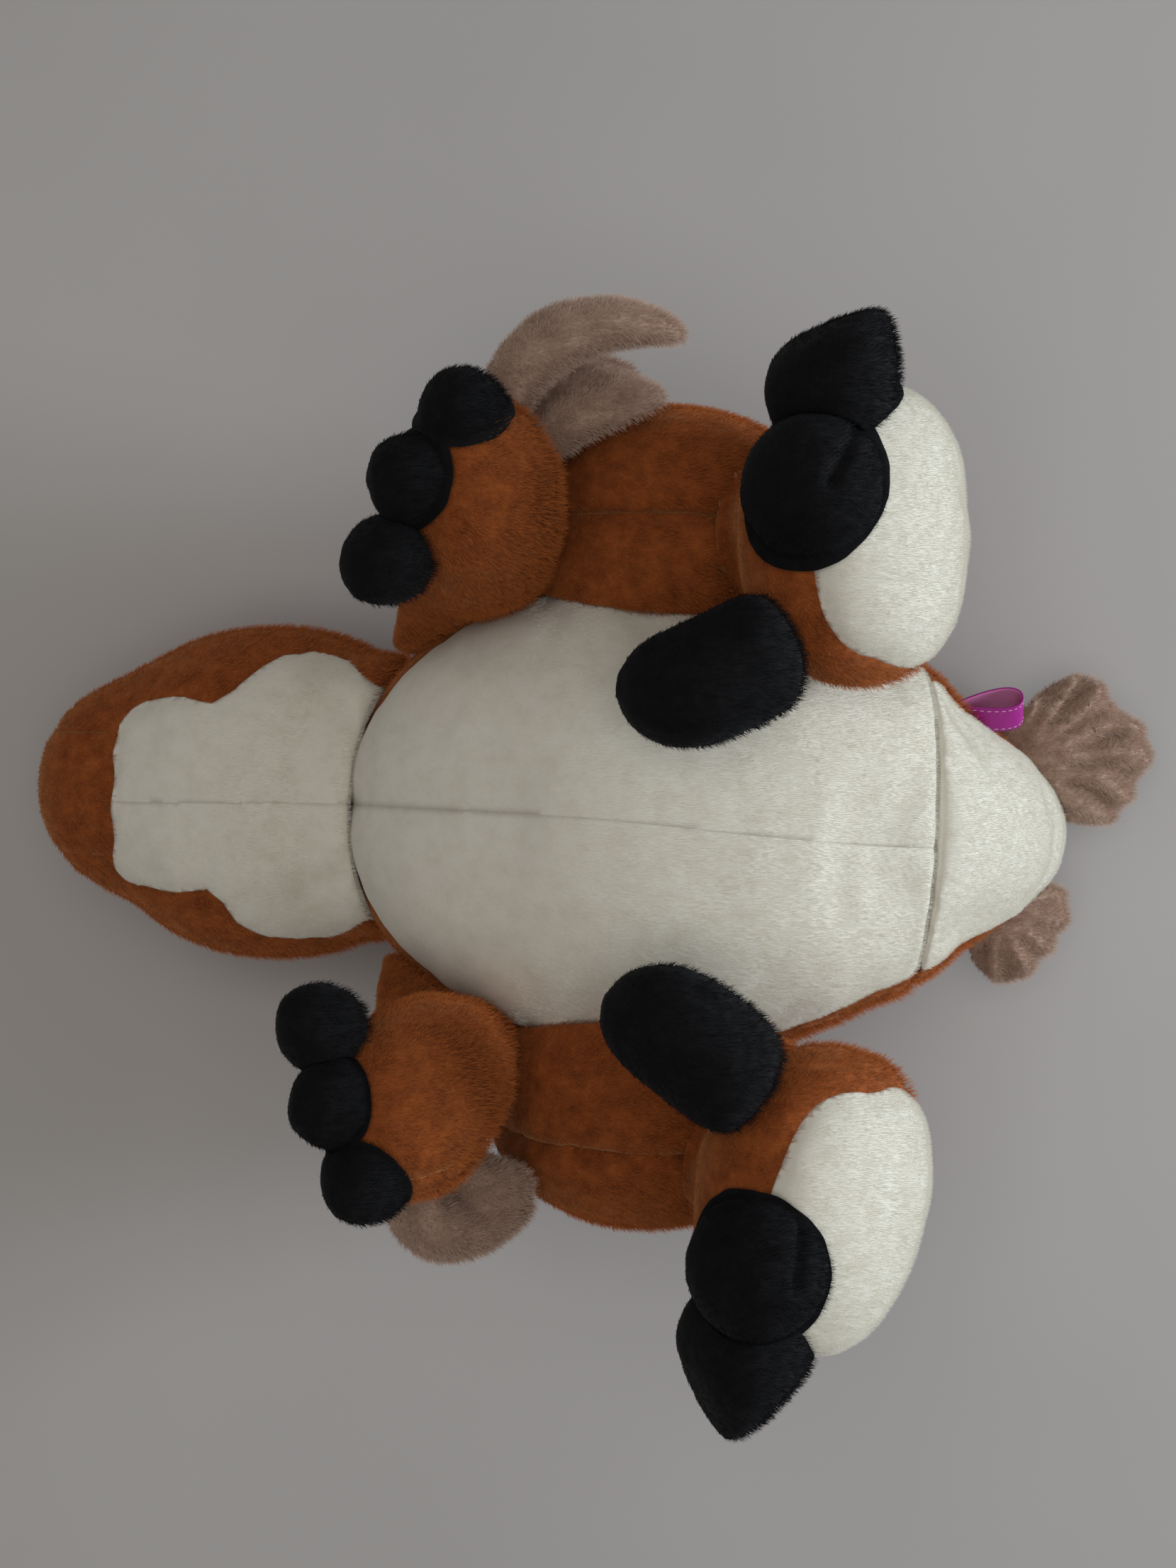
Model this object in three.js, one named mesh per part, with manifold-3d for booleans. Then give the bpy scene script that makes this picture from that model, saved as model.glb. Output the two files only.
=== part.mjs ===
import * as THREE from "three";
import { mergeVertices } from "three/addons/utils/BufferGeometryUtils.js";
import Module from "manifold-3d";

// Plush velociraptor lying on its back, in millimetres.
// +X runs from snout to tail, +Y to the toy's left and +Z from back to belly.
// The origin is the middle of the flat patch of the back that it lies on.

// Cloth and the slots between sewn pieces
const CLOTH = 3;
const SEAM_GAP = 0.4;
const FILL_GAP = 0.3;
const JOINT_GAP = 0.8;
const TURN_GAP = 3;
const REST_CUT = 0.5;

// Body
const BODY_TO_NECK = 128;
const BODY_TO_TAIL = 144;
const BODY_WIDTH = 206;
const BODY_DEPTH = 187;
const BELLY_SEAM_RISE = 18;

// Head
const HEAD_X = -157;
const HEAD_LIFT = 1.5;
const NECK_X = -100;
const NECK_HEIGHT = 85;
const HEAD_TO_SNOUT = 109;
const HEAD_TO_NECK = 75;
const HEAD_WIDTH = 145;
const HEAD_DEPTH = 121;
const MUZZLE_DRAW_IN = 0.12;
const GUSSET_WIDTH = 53;
const CHIN_FRONT = 68;
const CHIN_WIDTH = 80;
const CHIN_JOWL_WIDTH = 121;
const CHIN_CORNER = 9;
const CHIN_NECK_IN = 11;
const EYE_FORWARD = 0.3;
const EYE_DROP = 34;
const EYE_DIAMETER = 17;
const EYE_STEM_DIAMETER = 5;
const EYE_STEM_LENGTH = 13;
const EYE_SEAT = 4;
const WASHER_DIAMETER = 15;
const WASHER_THICKNESS = 2;

// Tail
const TAIL_SEAM_X = 113;
const TAIL_X = 87;
const TAIL_HEIGHT = 88;
const TAIL_PIVOT_HEIGHT = 85;
const TAIL_ROOT = 50;
const TAIL_LENGTH = 126;
const TAIL_WIDTH = 156;
const TAIL_DEPTH = 146;
const TAIL_DROOP = 32;
const TAIL_TURN = 3.5;
const TAIL_SEAM_RISE = 10;

// Arms
const SHOULDER_X = -70;
const SHOULDER_INSET = 15;
const SHOULDER_Z = 112;
const ARM_DRAW_IN = 0.3;
const HAND_WIDTH = 66;
const HAND_DEPTH = 72;
const FINGER_DIAMETER = 34;
const FINGER_LENGTH = 38;

// Legs
const THIGH_X = 3;
const HIP_OUT = 15;
const THIGH_Z = 106;
const THIGH_DIAMETER = 132;
const THIGH_OUT = 52;
const THIGH_IN = 62;
const PAW_LENGTH = 106;
const PAW_WIDTH = 118;
const PAW_SOLE = 36;
const PAW_INSTEP = 44;
const SOLE_SEAM = 5;
const TOE_RISE = 53;
const ANKLE_DIAMETER = 60;
const ANKLE_INSET = 6;
const TOE_DIAMETER = 53;
const SICKLE_DIAMETER = 49;
const SICKLE_LENGTH = 70;

// Feathers and ribbon
const FEATHER_WIDTH = 38;
const FEATHER_THICKNESS = 18;
const RIBBON_WIDTH = 15;
const RIBBON_THICKNESS = 1;
const RIBBON_LOOP = 27;
const RIBBON_OPENING = 11;

// How far each joint swings, in degrees
const HEAD_SWING = [-10, 12];
const TAIL_SWING = [-8, 8];
const ARM_SWING = [-20, 6];
const LEG_SWING = [-15, 12];
const FOOT_SWING = [-8, 12];
const SICKLE_SWING = [-10, 15];
const FEATHER_SWING = [-15, 15];
const WING_SWING = [-3, 15];
const RIBBON_SWING = [-20, 20];
const SWING_STEP = 14;

const REACH = 600;
const AXIS_Y = new THREE.Vector3(0, 1, 0);
const AXIS_Z = new THREE.Vector3(0, 0, 1);

const wasm = await Module();
wasm.setup();

const point = (x, y, z) => new THREE.Vector3(x, y, z);
const beyond = (from, x, y, z) => point(x, y, z).add(from);
const radians = THREE.MathUtils.degToRad;

// Solids are cut and joined as manifolds and shown as meshes
function solidFrom(geometry) {
  const bare = new THREE.BufferGeometry();
  bare.setAttribute("position", geometry.getAttribute("position").clone());
  bare.setIndex(geometry.getIndex());
  const welded = mergeVertices(bare, 1e-4);
  return new wasm.Manifold(new wasm.Mesh({
    numProp: 3,
    vertProperties: new Float32Array(welded.getAttribute("position").array),
    triVerts: new Uint32Array(welded.getIndex().array),
  }));
}

function geometryFrom(solid) {
  const mesh = solid.getMesh();
  const geometry = new THREE.BufferGeometry();
  geometry.setAttribute("position", new THREE.BufferAttribute(new Float32Array(mesh.vertProperties), 3));
  geometry.setIndex(new THREE.BufferAttribute(new Uint32Array(mesh.triVerts), 1));
  return geometry;
}

const join = (solids) => solids.reduce((sum, solid) => sum.add(solid));
const cut = (solid, ...tools) => tools.reduce((rest, tool) => rest.subtract(tool), solid);

// The one body that is left when a cut trims slivers off it
function mainBody(solid) {
  const bodies = solid.decompose();
  return bodies.reduce((best, body) => (body.volume() > best.volume() ? body : best));
}

// A frame with its x axis along one direction and its z axis turned towards another
function frame(at, along, toward) {
  const x = along.clone().normalize();
  const y = toward.clone().cross(x).normalize();
  const z = x.clone().cross(y);
  return new THREE.Matrix4().makeBasis(x, y, z).setPosition(at);
}

// A spot on a stuffed form, `t` along its frame's x axis from -1 to 1 and `angle` round it.
// The form swells to `side`, `up` and `down` and tapers to both ends. A waist draws it in all
// round, and a flat one only up and down.
function formSpot(form, t, angle, grow = 0) {
  const { front, rear, side, up, down, blunt = 2, square = 2, taper = 0, arch = 0, waist } = form;
  const squared = (value) => Math.sign(value) * Math.abs(value) ** (2 / square);
  const swell = Math.sqrt(Math.max(0, 1 - Math.abs(t) ** blunt)) * (1 - taper * Math.max(t, 0));
  const drawn = waist ? 1 - waist.depth * Math.exp(-(((t - waist.at) / waist.spread) ** 2)) : 1;
  const wide = waist?.flat ? swell : swell * drawn;
  const rise = squared(Math.sin(angle));
  return point(
    t * ((t > 0 ? front : rear) + grow),
    (side + grow) * wide * squared(Math.cos(angle)),
    ((rise > 0 ? up : down) + grow) * swell * drawn * rise + arch * (1 - t * t),
  );
}

function egg(form, grow = 0) {
  const geometry = new THREE.SphereGeometry(1, form.around, form.rings).rotateZ(-Math.PI / 2);
  const spots = geometry.getAttribute("position");
  for (let i = 0; i < spots.count; i += 1) {
    const t = THREE.MathUtils.clamp(spots.getX(i), -1, 1);
    const angle = Math.atan2(spots.getZ(i), spots.getY(i));
    const spot = formSpot(form, t, angle, grow);
    spots.setXYZ(i, spot.x, spot.y, spot.z);
  }
  return solidFrom(geometry.applyMatrix4(form.frame));
}

// A frame that stands on a form with its z axis straight out of it
function standingOn(form, t, angle) {
  const step = 0.01;
  const at = formSpot(form, t, angle).applyMatrix4(form.frame);
  const along = formSpot(form, t + step, angle).applyMatrix4(form.frame).sub(at);
  const round = formSpot(form, t, angle + step).applyMatrix4(form.frame).sub(at);
  return frame(at, along, round.clone().cross(along));
}

const blob = (forms, grow = 0) => join(forms.map((form) => egg(form, grow)));

// A box between two corners of a frame
function block(matrix, low, high) {
  const size = high.clone().sub(low);
  const geometry = new THREE.BoxGeometry(size.x, size.y, size.z);
  geometry.translate(low.x + size.x / 2, low.y + size.y / 2, low.z + size.z / 2);
  return solidFrom(geometry.applyMatrix4(matrix));
}

// The half of space above a frame's xy plane, or above it by a height
const above = (matrix, height = 0) =>
  block(matrix, point(-REACH, -REACH, height), point(REACH, REACH, REACH));

// What a parent takes up as seen from a child that swings through its range
function swept(parent, hinge) {
  const geometry = geometryFrom(parent);
  const [low, high] = hinge.swing;
  const steps = Math.ceil((high - low) / SWING_STEP);
  const turns = Array.from({ length: steps + 1 }, (_, i) => low + ((high - low) * i) / steps);
  return join(turns.map((turn) => {
    const matrix = new THREE.Matrix4().makeTranslation(hinge.at)
      .multiply(new THREE.Matrix4().makeRotationAxis(hinge.axis, -radians(turn)))
      .multiply(new THREE.Matrix4().makeTranslation(hinge.at.clone().negate()));
    return solidFrom(geometry.clone().applyMatrix4(matrix));
  }));
}

// The cloth and the filling of a stuffed form, cut by what the form is sewn to
function stuffed(forms, ...tools) {
  return {
    cloth: cut(blob(forms), blob(forms, -CLOTH), ...tools),
    filling: cut(blob(forms, -CLOTH - FILL_GAP), ...tools),
  };
}

// Materials
const cloth = (name, color) => new THREE.MeshStandardMaterial({ name, color, roughness: 0.95 });
const RUST = cloth("rust_plush", 0xc4692b);
const WHITE = cloth("white_plush", 0xeae6df);
const BLACK = cloth("black_plush", 0x17161a);
const BROWN = cloth("brown_long_pile", 0x7a6252);
const FILL = cloth("polyester_filling", 0xf2f0ec);
const PURPLE = cloth("purple_ribbon", 0x9a4a9e);
const EYE_BLACK = new THREE.MeshStandardMaterial({ name: "eye_plastic", color: 0x0b0a0a, roughness: 0.15 });
const WASHER_WHITE = new THREE.MeshStandardMaterial({
  name: "washer_plastic", color: 0xdcdcd8, roughness: 0.6,
});

// A group stands on its joint, so that turning the group swings the limb
function limb(parent, name, at) {
  const group = new THREE.Group();
  group.name = name;
  parent.updateWorldMatrix(true, false);
  group.position.copy(parent.worldToLocal(at.clone()));
  parent.add(group);
  return group;
}

function addPiece(group, name, solid, material) {
  group.updateWorldMatrix(true, false);
  const origin = group.getWorldPosition(new THREE.Vector3());
  const geometry = geometryFrom(mainBody(solid)).translate(-origin.x, -origin.y, -origin.z);
  const mesh = new THREE.Mesh(geometry, material);
  mesh.name = name;
  group.add(mesh);
}

const toy = new THREE.Group();
toy.name = "plush_velociraptor";

// Body
const bodyHeight = BODY_DEPTH / 2;
const bodyFrame = frame(point(0, 0, bodyHeight - REST_CUT), point(1, 0, 0), AXIS_Z);
const bodyForms = [{
  frame: bodyFrame, front: BODY_TO_TAIL, rear: BODY_TO_NECK,
  side: BODY_WIDTH / 2, up: bodyHeight, down: bodyHeight, square: 2.2, around: 16, rings: 10,
}];
const floor = block(new THREE.Matrix4(), point(-REACH, -REACH, -REACH), point(REACH, REACH, 0));
const behind = (x) => block(new THREE.Matrix4(), point(x, -REACH, -REACH), point(REACH, REACH, REACH));
const bodySpace = cut(blob(bodyForms, JOINT_GAP), behind(TAIL_SEAM_X + JOINT_GAP));
const body = stuffed(bodyForms, floor, behind(TAIL_SEAM_X));

// The two planes through a form's long axis that its belly seam follows, one for each side
function bellyRegion(matrix, rise, gap) {
  const sides = [-1, 1].map((side) => {
    const tilt = new THREE.Matrix4().makeRotationX(side * radians(rise));
    return above(matrix.clone().multiply(tilt), gap);
  });
  return sides[0].intersect(sides[1]);
}

const leftHalf = (gap) =>
  block(new THREE.Matrix4(), point(-REACH, gap, -REACH), point(REACH, REACH, REACH));
const rightHalf = (gap) =>
  block(new THREE.Matrix4(), point(-REACH, -REACH, -REACH), point(REACH, -gap, REACH));

const belly = body.cloth.intersect(bellyRegion(bodyFrame, BELLY_SEAM_RISE, SEAM_GAP / 2));
const back = cut(body.cloth, bellyRegion(bodyFrame, BELLY_SEAM_RISE, -SEAM_GAP / 2));
const torsoGroup = limb(toy, "torso", point(0, 0, 0));
addPiece(torsoGroup, "back_panel", back, RUST);
addPiece(torsoGroup, "belly_panel_left", belly.intersect(leftHalf(SEAM_GAP / 2)), WHITE);
addPiece(torsoGroup, "belly_panel_right", belly.intersect(rightHalf(SEAM_GAP / 2)), WHITE);
addPiece(torsoGroup, "torso_stuffing", body.filling, FILL);

// Head, with its crown on the floor side and its chin up
const headHeight = HEAD_DEPTH / 2;
const headFrame = frame(point(HEAD_X, 0, headHeight + HEAD_LIFT), point(-1, 0, 0), AXIS_Z);
const headForms = [{
  frame: headFrame, front: HEAD_TO_SNOUT, rear: HEAD_TO_NECK,
  side: HEAD_WIDTH / 2, up: headHeight, down: headHeight,
  waist: { at: 0.66, depth: MUZZLE_DRAW_IN, spread: 0.22 }, square: 2.1, around: 16, rings: 10,
}];
const neck = { at: point(NECK_X, 0, NECK_HEIGHT), axis: AXIS_Y, swing: HEAD_SWING };
const head = stuffed(headForms, swept(bodySpace, neck));

// The chin patch widens from the muzzle to the jowls and runs back under the neck
function chinRegion(gap) {
  const half = CHIN_WIDTH / 2 + gap;
  const jowl = CHIN_JOWL_WIDTH / 2 + gap;
  const tip = CHIN_FRONT + gap;
  const outline = new THREE.Shape();
  const edge = [
    [tip - CHIN_CORNER, half],
    [26, half],
    [12, half + (jowl - half) * 0.65],
    [-9, jowl],
    [-42, jowl - CHIN_NECK_IN],
    [-REACH / 2, jowl - CHIN_NECK_IN],
  ];
  outline.moveTo(tip, -half + CHIN_CORNER);
  outline.lineTo(tip, half - CHIN_CORNER);
  outline.quadraticCurveTo(tip, half, ...edge[0]);
  edge.forEach(([x, y]) => outline.lineTo(x, y));
  edge.reverse().forEach(([x, y]) => outline.lineTo(x, -y));
  outline.quadraticCurveTo(tip, -half, tip, -half + CHIN_CORNER);
  const geometry = new THREE.ExtrudeGeometry(outline, {
    depth: REACH, bevelEnabled: false, curveSegments: 4,
  });
  return solidFrom(geometry.applyMatrix4(headFrame));
}

function gussetRegion(gap) {
  const half = GUSSET_WIDTH / 2 + gap;
  return block(headFrame, point(-REACH, -half, -REACH), point(REACH, half, REACH));
}

const chin = head.cloth.intersect(chinRegion(-SEAM_GAP / 2));
const headCap = cut(head.cloth, chinRegion(SEAM_GAP / 2));
const headSides = cut(headCap, gussetRegion(SEAM_GAP / 2));
const headGroup = limb(torsoGroup, "head", neck.at);
addPiece(headGroup, "head_gusset", headCap.intersect(gussetRegion(-SEAM_GAP / 2)), RUST);
addPiece(headGroup, "chin_panel_left", chin.intersect(leftHalf(SEAM_GAP / 2)), WHITE);
addPiece(headGroup, "chin_panel_right", chin.intersect(rightHalf(SEAM_GAP / 2)), WHITE);

// Eyes: a dome on a stem through the cloth, held by a washer inside
const eyeOut = EYE_DIAMETER / 2;
const stemOut = EYE_STEM_DIAMETER / 2;
const washerDepth = CLOTH + EYE_SEAT;

function turned(outline, matrix) {
  const geometry = new THREE.LatheGeometry(outline.map(([r, z]) => new THREE.Vector2(r, z)), 12);
  geometry.rotateX(Math.PI / 2);
  return solidFrom(geometry.applyMatrix4(matrix));
}

function eyeSolid(matrix, grow) {
  const arc = [0, 1, 2, 3].map((i) => (i * Math.PI) / 6);
  const dome = arc.map((a) => [(eyeOut + grow) * Math.cos(a), grow + 0.62 * eyeOut * Math.sin(a)]);
  dome[3][0] = 0;
  return turned([
    [0, -EYE_STEM_LENGTH - grow],
    [stemOut + grow, -EYE_STEM_LENGTH - grow],
    [stemOut + grow, -1 - grow],
    [eyeOut + grow, -1 - grow],
    ...dome,
  ], matrix);
}

function washerSolid(matrix, grow) {
  const top = -washerDepth + grow;
  const bottom = -washerDepth - WASHER_THICKNESS - grow;
  const bore = stemOut + FILL_GAP - grow;
  const rim = WASHER_DIAMETER / 2 + grow;
  return turned([[bore, bottom], [rim, bottom], [rim, top], [bore, top], [bore, bottom]], matrix);
}

let headFilling = head.filling;
for (const side of [1, -1]) {
  const name = side > 0 ? "left" : "right";
  const eyeAngle = side > 0 ? Math.PI + radians(EYE_DROP) : -radians(EYE_DROP);
  const eyeFrame = standingOn(headForms[0], EYE_FORWARD, eyeAngle);
  const eye = eyeSolid(eyeFrame, 0);
  const eyeRoom = eyeSolid(eyeFrame, FILL_GAP);
  const half = side > 0 ? leftHalf(0) : rightHalf(0);
  headFilling = cut(headFilling, eyeRoom, washerSolid(eyeFrame, FILL_GAP));
  addPiece(headGroup, `head_side_${name}`, cut(headSides.intersect(half), eyeRoom), RUST);
  addPiece(headGroup, `eye_${name}`, eye, EYE_BLACK);
  addPiece(headGroup, `eye_washer_${name}`, washerSolid(eyeFrame, 0), WASHER_WHITE);
}
addPiece(headGroup, "head_stuffing", headFilling, FILL);

// Tail, drooping to the floor
const droop = radians(TAIL_DROOP);
const tailAlong = point(Math.cos(droop), 0, -Math.sin(droop)).applyAxisAngle(AXIS_Z, -radians(TAIL_TURN));
const tailFrame = frame(point(TAIL_X, 0, TAIL_HEIGHT), tailAlong, AXIS_Z);
const tailForms = [{
  frame: tailFrame, front: TAIL_LENGTH, rear: TAIL_ROOT,
  side: TAIL_WIDTH / 2, up: TAIL_DEPTH / 2 + 4, down: TAIL_DEPTH / 2 - 4,
  taper: 0.6, blunt: 3, around: 14, rings: 8,
}];
const tailRoot = { at: point(TAIL_SEAM_X, 0, TAIL_PIVOT_HEIGHT), axis: AXIS_Z, swing: TAIL_SWING };
const ahead = block(
  new THREE.Matrix4(),
  point(-REACH, -REACH, -REACH),
  point(TAIL_SEAM_X + JOINT_GAP, REACH, REACH),
);
const tail = stuffed(tailForms, swept(ahead, tailRoot));
const tailGroup = limb(torsoGroup, "tail", tailRoot.at);
const tailUnder = tail.cloth.intersect(bellyRegion(tailFrame, TAIL_SEAM_RISE, SEAM_GAP / 2));
const tailTop = cut(tail.cloth, bellyRegion(tailFrame, TAIL_SEAM_RISE, -SEAM_GAP / 2));
addPiece(tailGroup, "tail_underside_panel", tailUnder, WHITE);
addPiece(tailGroup, "tail_top_panel", tailTop, RUST);
addPiece(tailGroup, "tail_stuffing", tail.filling, FILL);

// A feather lobe from its root to its tip, flat across `flat` and arched that way
function lobe(root, tip, flat, width, arch) {
  const along = tip.clone().sub(root);
  const half = along.length() / 2;
  return {
    frame: frame(root.clone().addScaledVector(along, 0.5), along, flat),
    front: half, rear: half, side: width / 2, up: FEATHER_THICKNESS / 2, down: FEATHER_THICKNESS / 2,
    blunt: 3, arch, around: 8, rings: 6,
  };
}

function addFeather(parent, name, lobes, hinge, base) {
  const group = limb(parent, name, hinge.at);
  addPiece(group, name, cut(blob(lobes), swept(base, hinge)), BROWN);
}

const tailSpace = blob(tailForms, JOINT_GAP);
const bodyAndTail = tailSpace.add(bodySpace);
const leftFan = point(TAIL_X + 79, 30, 42);
const rightFan = point(TAIL_X + 71, -36, 42);
const fanLobe = (fan, root, tip, share) =>
  lobe(beyond(fan, ...root), beyond(fan, ...tip), AXIS_Z, FEATHER_WIDTH * share, 4);
addFeather(tailGroup, "tail_feather_left", [
  fanLobe(leftFan, [-8, -4, 0], [42, 34, -8], 0.8),
  fanLobe(leftFan, [-8, -5, 0], [52, 23, -10], 0.8),
  fanLobe(leftFan, [-8, -6, 0], [65, 10, -10], 0.8),
  fanLobe(leftFan, [-5, -9, 0], [60, -3, -12], 0.8),
  fanLobe(leftFan, [-2, -12, 0], [54, -15, -12], 0.7),
], { at: leftFan, axis: point(0.6, -0.8, 0), swing: FEATHER_SWING }, bodyAndTail);
addFeather(tailGroup, "tail_feather_right", [
  fanLobe(rightFan, [-8, 4, 0], [18, -30, -10], 0.8),
  fanLobe(rightFan, [-8, 5, 0], [29, -20, -12], 0.8),
  fanLobe(rightFan, [-8, 6, 0], [36, -6, -14], 0.8),
], { at: rightFan, axis: point(-0.6, -0.8, 0), swing: FEATHER_SWING }, bodyAndTail);

// Ribbon tag: a loop whose two ends are caught in the side seam
const ribbonRoot = point(TAIL_SEAM_X + 20, 48, 84);
const ribbonFrame = frame(ribbonRoot, point(0.98, 0.15, 0.1), point(0, 0.62, 0.78));
const ribbonHinge = { at: ribbonRoot, axis: AXIS_Z, swing: RIBBON_SWING };

function ribbonOutline(start, root, inset) {
  const end = RIBBON_LOOP - inset;
  const half = RIBBON_OPENING / 2 - inset;
  const outline = new THREE.Shape();
  outline.moveTo(start, root);
  outline.lineTo(start, -root);
  outline.bezierCurveTo(start + 7, -root - half * 0.3, end, -half * 1.6, end, 0);
  outline.bezierCurveTo(end, half * 1.6, start + 7, root + half * 0.3, start, root);
  return outline;
}

const loop = ribbonOutline(0, RIBBON_THICKNESS + 0.2, 0);
loop.holes.push(ribbonOutline(4, 0.2, RIBBON_THICKNESS));
const ribbonStrip = new THREE.ExtrudeGeometry(loop, {
  depth: RIBBON_WIDTH, bevelEnabled: false, curveSegments: 8,
});
ribbonStrip.translate(0, 0, -RIBBON_WIDTH / 2).applyMatrix4(ribbonFrame);
const ribbonGroup = limb(tailGroup, "ribbon", ribbonRoot);
const ribbon = cut(solidFrom(ribbonStrip), swept(bodyAndTail, ribbonHinge));
addPiece(ribbonGroup, "ribbon_tag", ribbon, PURPLE);

// Legs: each paw is posed by its place beyond the hip and by how far its toes turn out
const bodySide = BODY_WIDTH / 2;
const thighRooms = {};
const LEG_POSES = {
  left: {
    side: 1, back: 71, out: -9, up: 84, toeOut: 4,
    middleToe: [45, 9, 4], outerToe: [32, 50, 2], outerAlong: [-0.52, 0.85, 0.11],
    sickle: [58, -61, -28.5],
  },
  right: {
    side: -1, back: 64, out: 22, up: 84, toeOut: -5,
    middleToe: [45, 18, 4], outerToe: [32, 55, -5], outerAlong: [-0.23, 0.95, -0.2],
    sickle: [60, -57, -32.5],
  },
};

for (const [name, pose] of Object.entries(LEG_POSES)) {
  const { side } = pose;
  const hip = {
    at: point(THIGH_X, side * (bodySide + HIP_OUT), THIGH_Z), axis: AXIS_Y, swing: LEG_SWING,
  };
  const paw = beyond(hip.at, pose.back, side * pose.out, pose.up);
  const thighFrame = frame(hip.at, point(0, side, 0), AXIS_Z);
  const thighForms = [{
    frame: thighFrame, front: THIGH_OUT, rear: THIGH_IN, side: THIGH_DIAMETER / 2,
    up: THIGH_DIAMETER / 2, down: THIGH_DIAMETER / 2, blunt: 2.4, around: 16, rings: 8,
  }];
  const thigh = stuffed(thighForms, swept(bodySpace, hip));
  const thighSpace = blob(thighForms, JOINT_GAP);
  thighRooms[name] = blob(thighForms, TURN_GAP);
  const thighGroup = limb(torsoGroup, `thigh_${name}`, hip.at);
  const outer = frame(hip.at, point(1, 0, 0), point(0, side, 0));
  const thighOuter = thigh.cloth.intersect(above(outer, SEAM_GAP / 2));
  const thighInner = cut(thigh.cloth, above(outer, -SEAM_GAP / 2));
  addPiece(thighGroup, `thigh_outer_panel_${name}`, thighOuter, RUST);
  addPiece(thighGroup, `thigh_inner_panel_${name}`, thighInner, RUST);
  addPiece(thighGroup, `thigh_stuffing_${name}`, thigh.filling, FILL);

  // The paw points its toes up and forwards and shows its sole to the tail
  const turn = new THREE.Matrix4().makeRotationZ(-side * radians(pose.toeOut));
  const rise = radians(TOE_RISE);
  const toeward = point(-Math.cos(rise), 0, Math.sin(rise)).transformDirection(turn);
  const soleward = point(Math.sin(rise), 0, Math.cos(rise)).transformDirection(turn);
  const outward = point(0, side, 0).transformDirection(turn);
  const pawFrame = frame(paw, toeward, soleward);
  const toPaw = paw.clone().sub(hip.at).normalize();
  const ankle = {
    at: hip.at.clone().addScaledVector(toPaw, THIGH_DIAMETER / 2 - ANKLE_INSET),
    axis: AXIS_Y,
    swing: FOOT_SWING,
  };
  const pawForms = [{
    frame: pawFrame, front: PAW_LENGTH / 2, rear: PAW_LENGTH / 2, side: PAW_WIDTH / 2,
    up: PAW_SOLE, down: PAW_INSTEP, blunt: 2.3, square: 2.2, around: 14, rings: 8,
  }, {
    frame: frame(ankle.at, toPaw, soleward), front: 40, rear: 24, side: ANKLE_DIAMETER / 2,
    up: ANKLE_DIAMETER / 2, down: ANKLE_DIAMETER / 2, around: 10, rings: 6,
  }];
  const bodyFromFoot = swept(swept(bodySpace, hip), ankle);
  const foot = stuffed(pawForms, swept(thighSpace, ankle), bodyFromFoot);
  const footGroup = limb(thighGroup, `foot_${name}`, ankle.at);
  const sole = foot.cloth.intersect(above(pawFrame, SOLE_SEAM + SEAM_GAP / 2));
  const upper = cut(foot.cloth, above(pawFrame, SOLE_SEAM - SEAM_GAP / 2));
  addPiece(footGroup, `foot_sole_${name}`, sole, WHITE);
  addPiece(footGroup, `foot_upper_${name}`, upper, RUST);
  addPiece(footGroup, `foot_stuffing_${name}`, foot.filling, FILL);

  // Two toes on the paw's front edge, and the sickle claw on its inner edge
  const onPaw = (toe, out, sole) => point(0, 0, 0)
    .addScaledVector(toeward, toe).addScaledVector(outward, out).addScaledVector(soleward, sole);
  const pawSpace = blob(pawForms, SEAM_GAP);
  const toeOut = TOE_DIAMETER / 2;
  const middleToe = {
    frame: frame(onPaw(...pose.middleToe).add(paw), onPaw(1, 0, 0.1), soleward),
    front: toeOut + 2, rear: toeOut, side: toeOut, up: toeOut - 1, down: toeOut - 1,
    around: 10, rings: 6,
  };
  const outerToe = {
    frame: frame(onPaw(...pose.outerToe).add(paw), onPaw(...pose.outerAlong), soleward),
    front: toeOut + 9, rear: toeOut + 2, side: toeOut - 1, up: toeOut - 2, down: toeOut - 2,
    taper: 0.55, around: 10, rings: 7,
  };
  const outerClaw = cut(egg(outerToe), pawSpace, egg(middleToe, SEAM_GAP));
  addPiece(footGroup, `toe_claw_outer_${name}`, outerClaw, BLACK);
  addPiece(footGroup, `toe_claw_middle_${name}`, cut(egg(middleToe), pawSpace), BLACK);

  const sickleAlong = onPaw(0.56, -0.37, -0.74);
  const sickleAt = onPaw(...pose.sickle).add(paw);
  const sickleForm = {
    frame: frame(sickleAt, sickleAlong, soleward),
    front: SICKLE_LENGTH * 0.42, rear: SICKLE_LENGTH * 0.58,
    side: SICKLE_DIAMETER / 2, up: SICKLE_DIAMETER / 2, down: SICKLE_DIAMETER / 2,
    taper: 0.15, arch: 5, blunt: 2.4, around: 10, rings: 7,
  };
  const sickleRoot = {
    at: sickleAt.clone().addScaledVector(sickleAlong.clone().normalize(), -SICKLE_LENGTH * 0.45),
    axis: AXIS_Y, swing: SICKLE_SWING,
  };
  const sickleGroup = limb(footGroup, `sickle_${name}`, sickleRoot.at);
  const footSpace = blob(pawForms, JOINT_GAP).add(egg(middleToe, JOINT_GAP));
  const sickle = cut(egg(sickleForm), swept(footSpace, sickleRoot));
  addPiece(sickleGroup, `sickle_claw_${name}`, sickle, BLACK);
}

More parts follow.
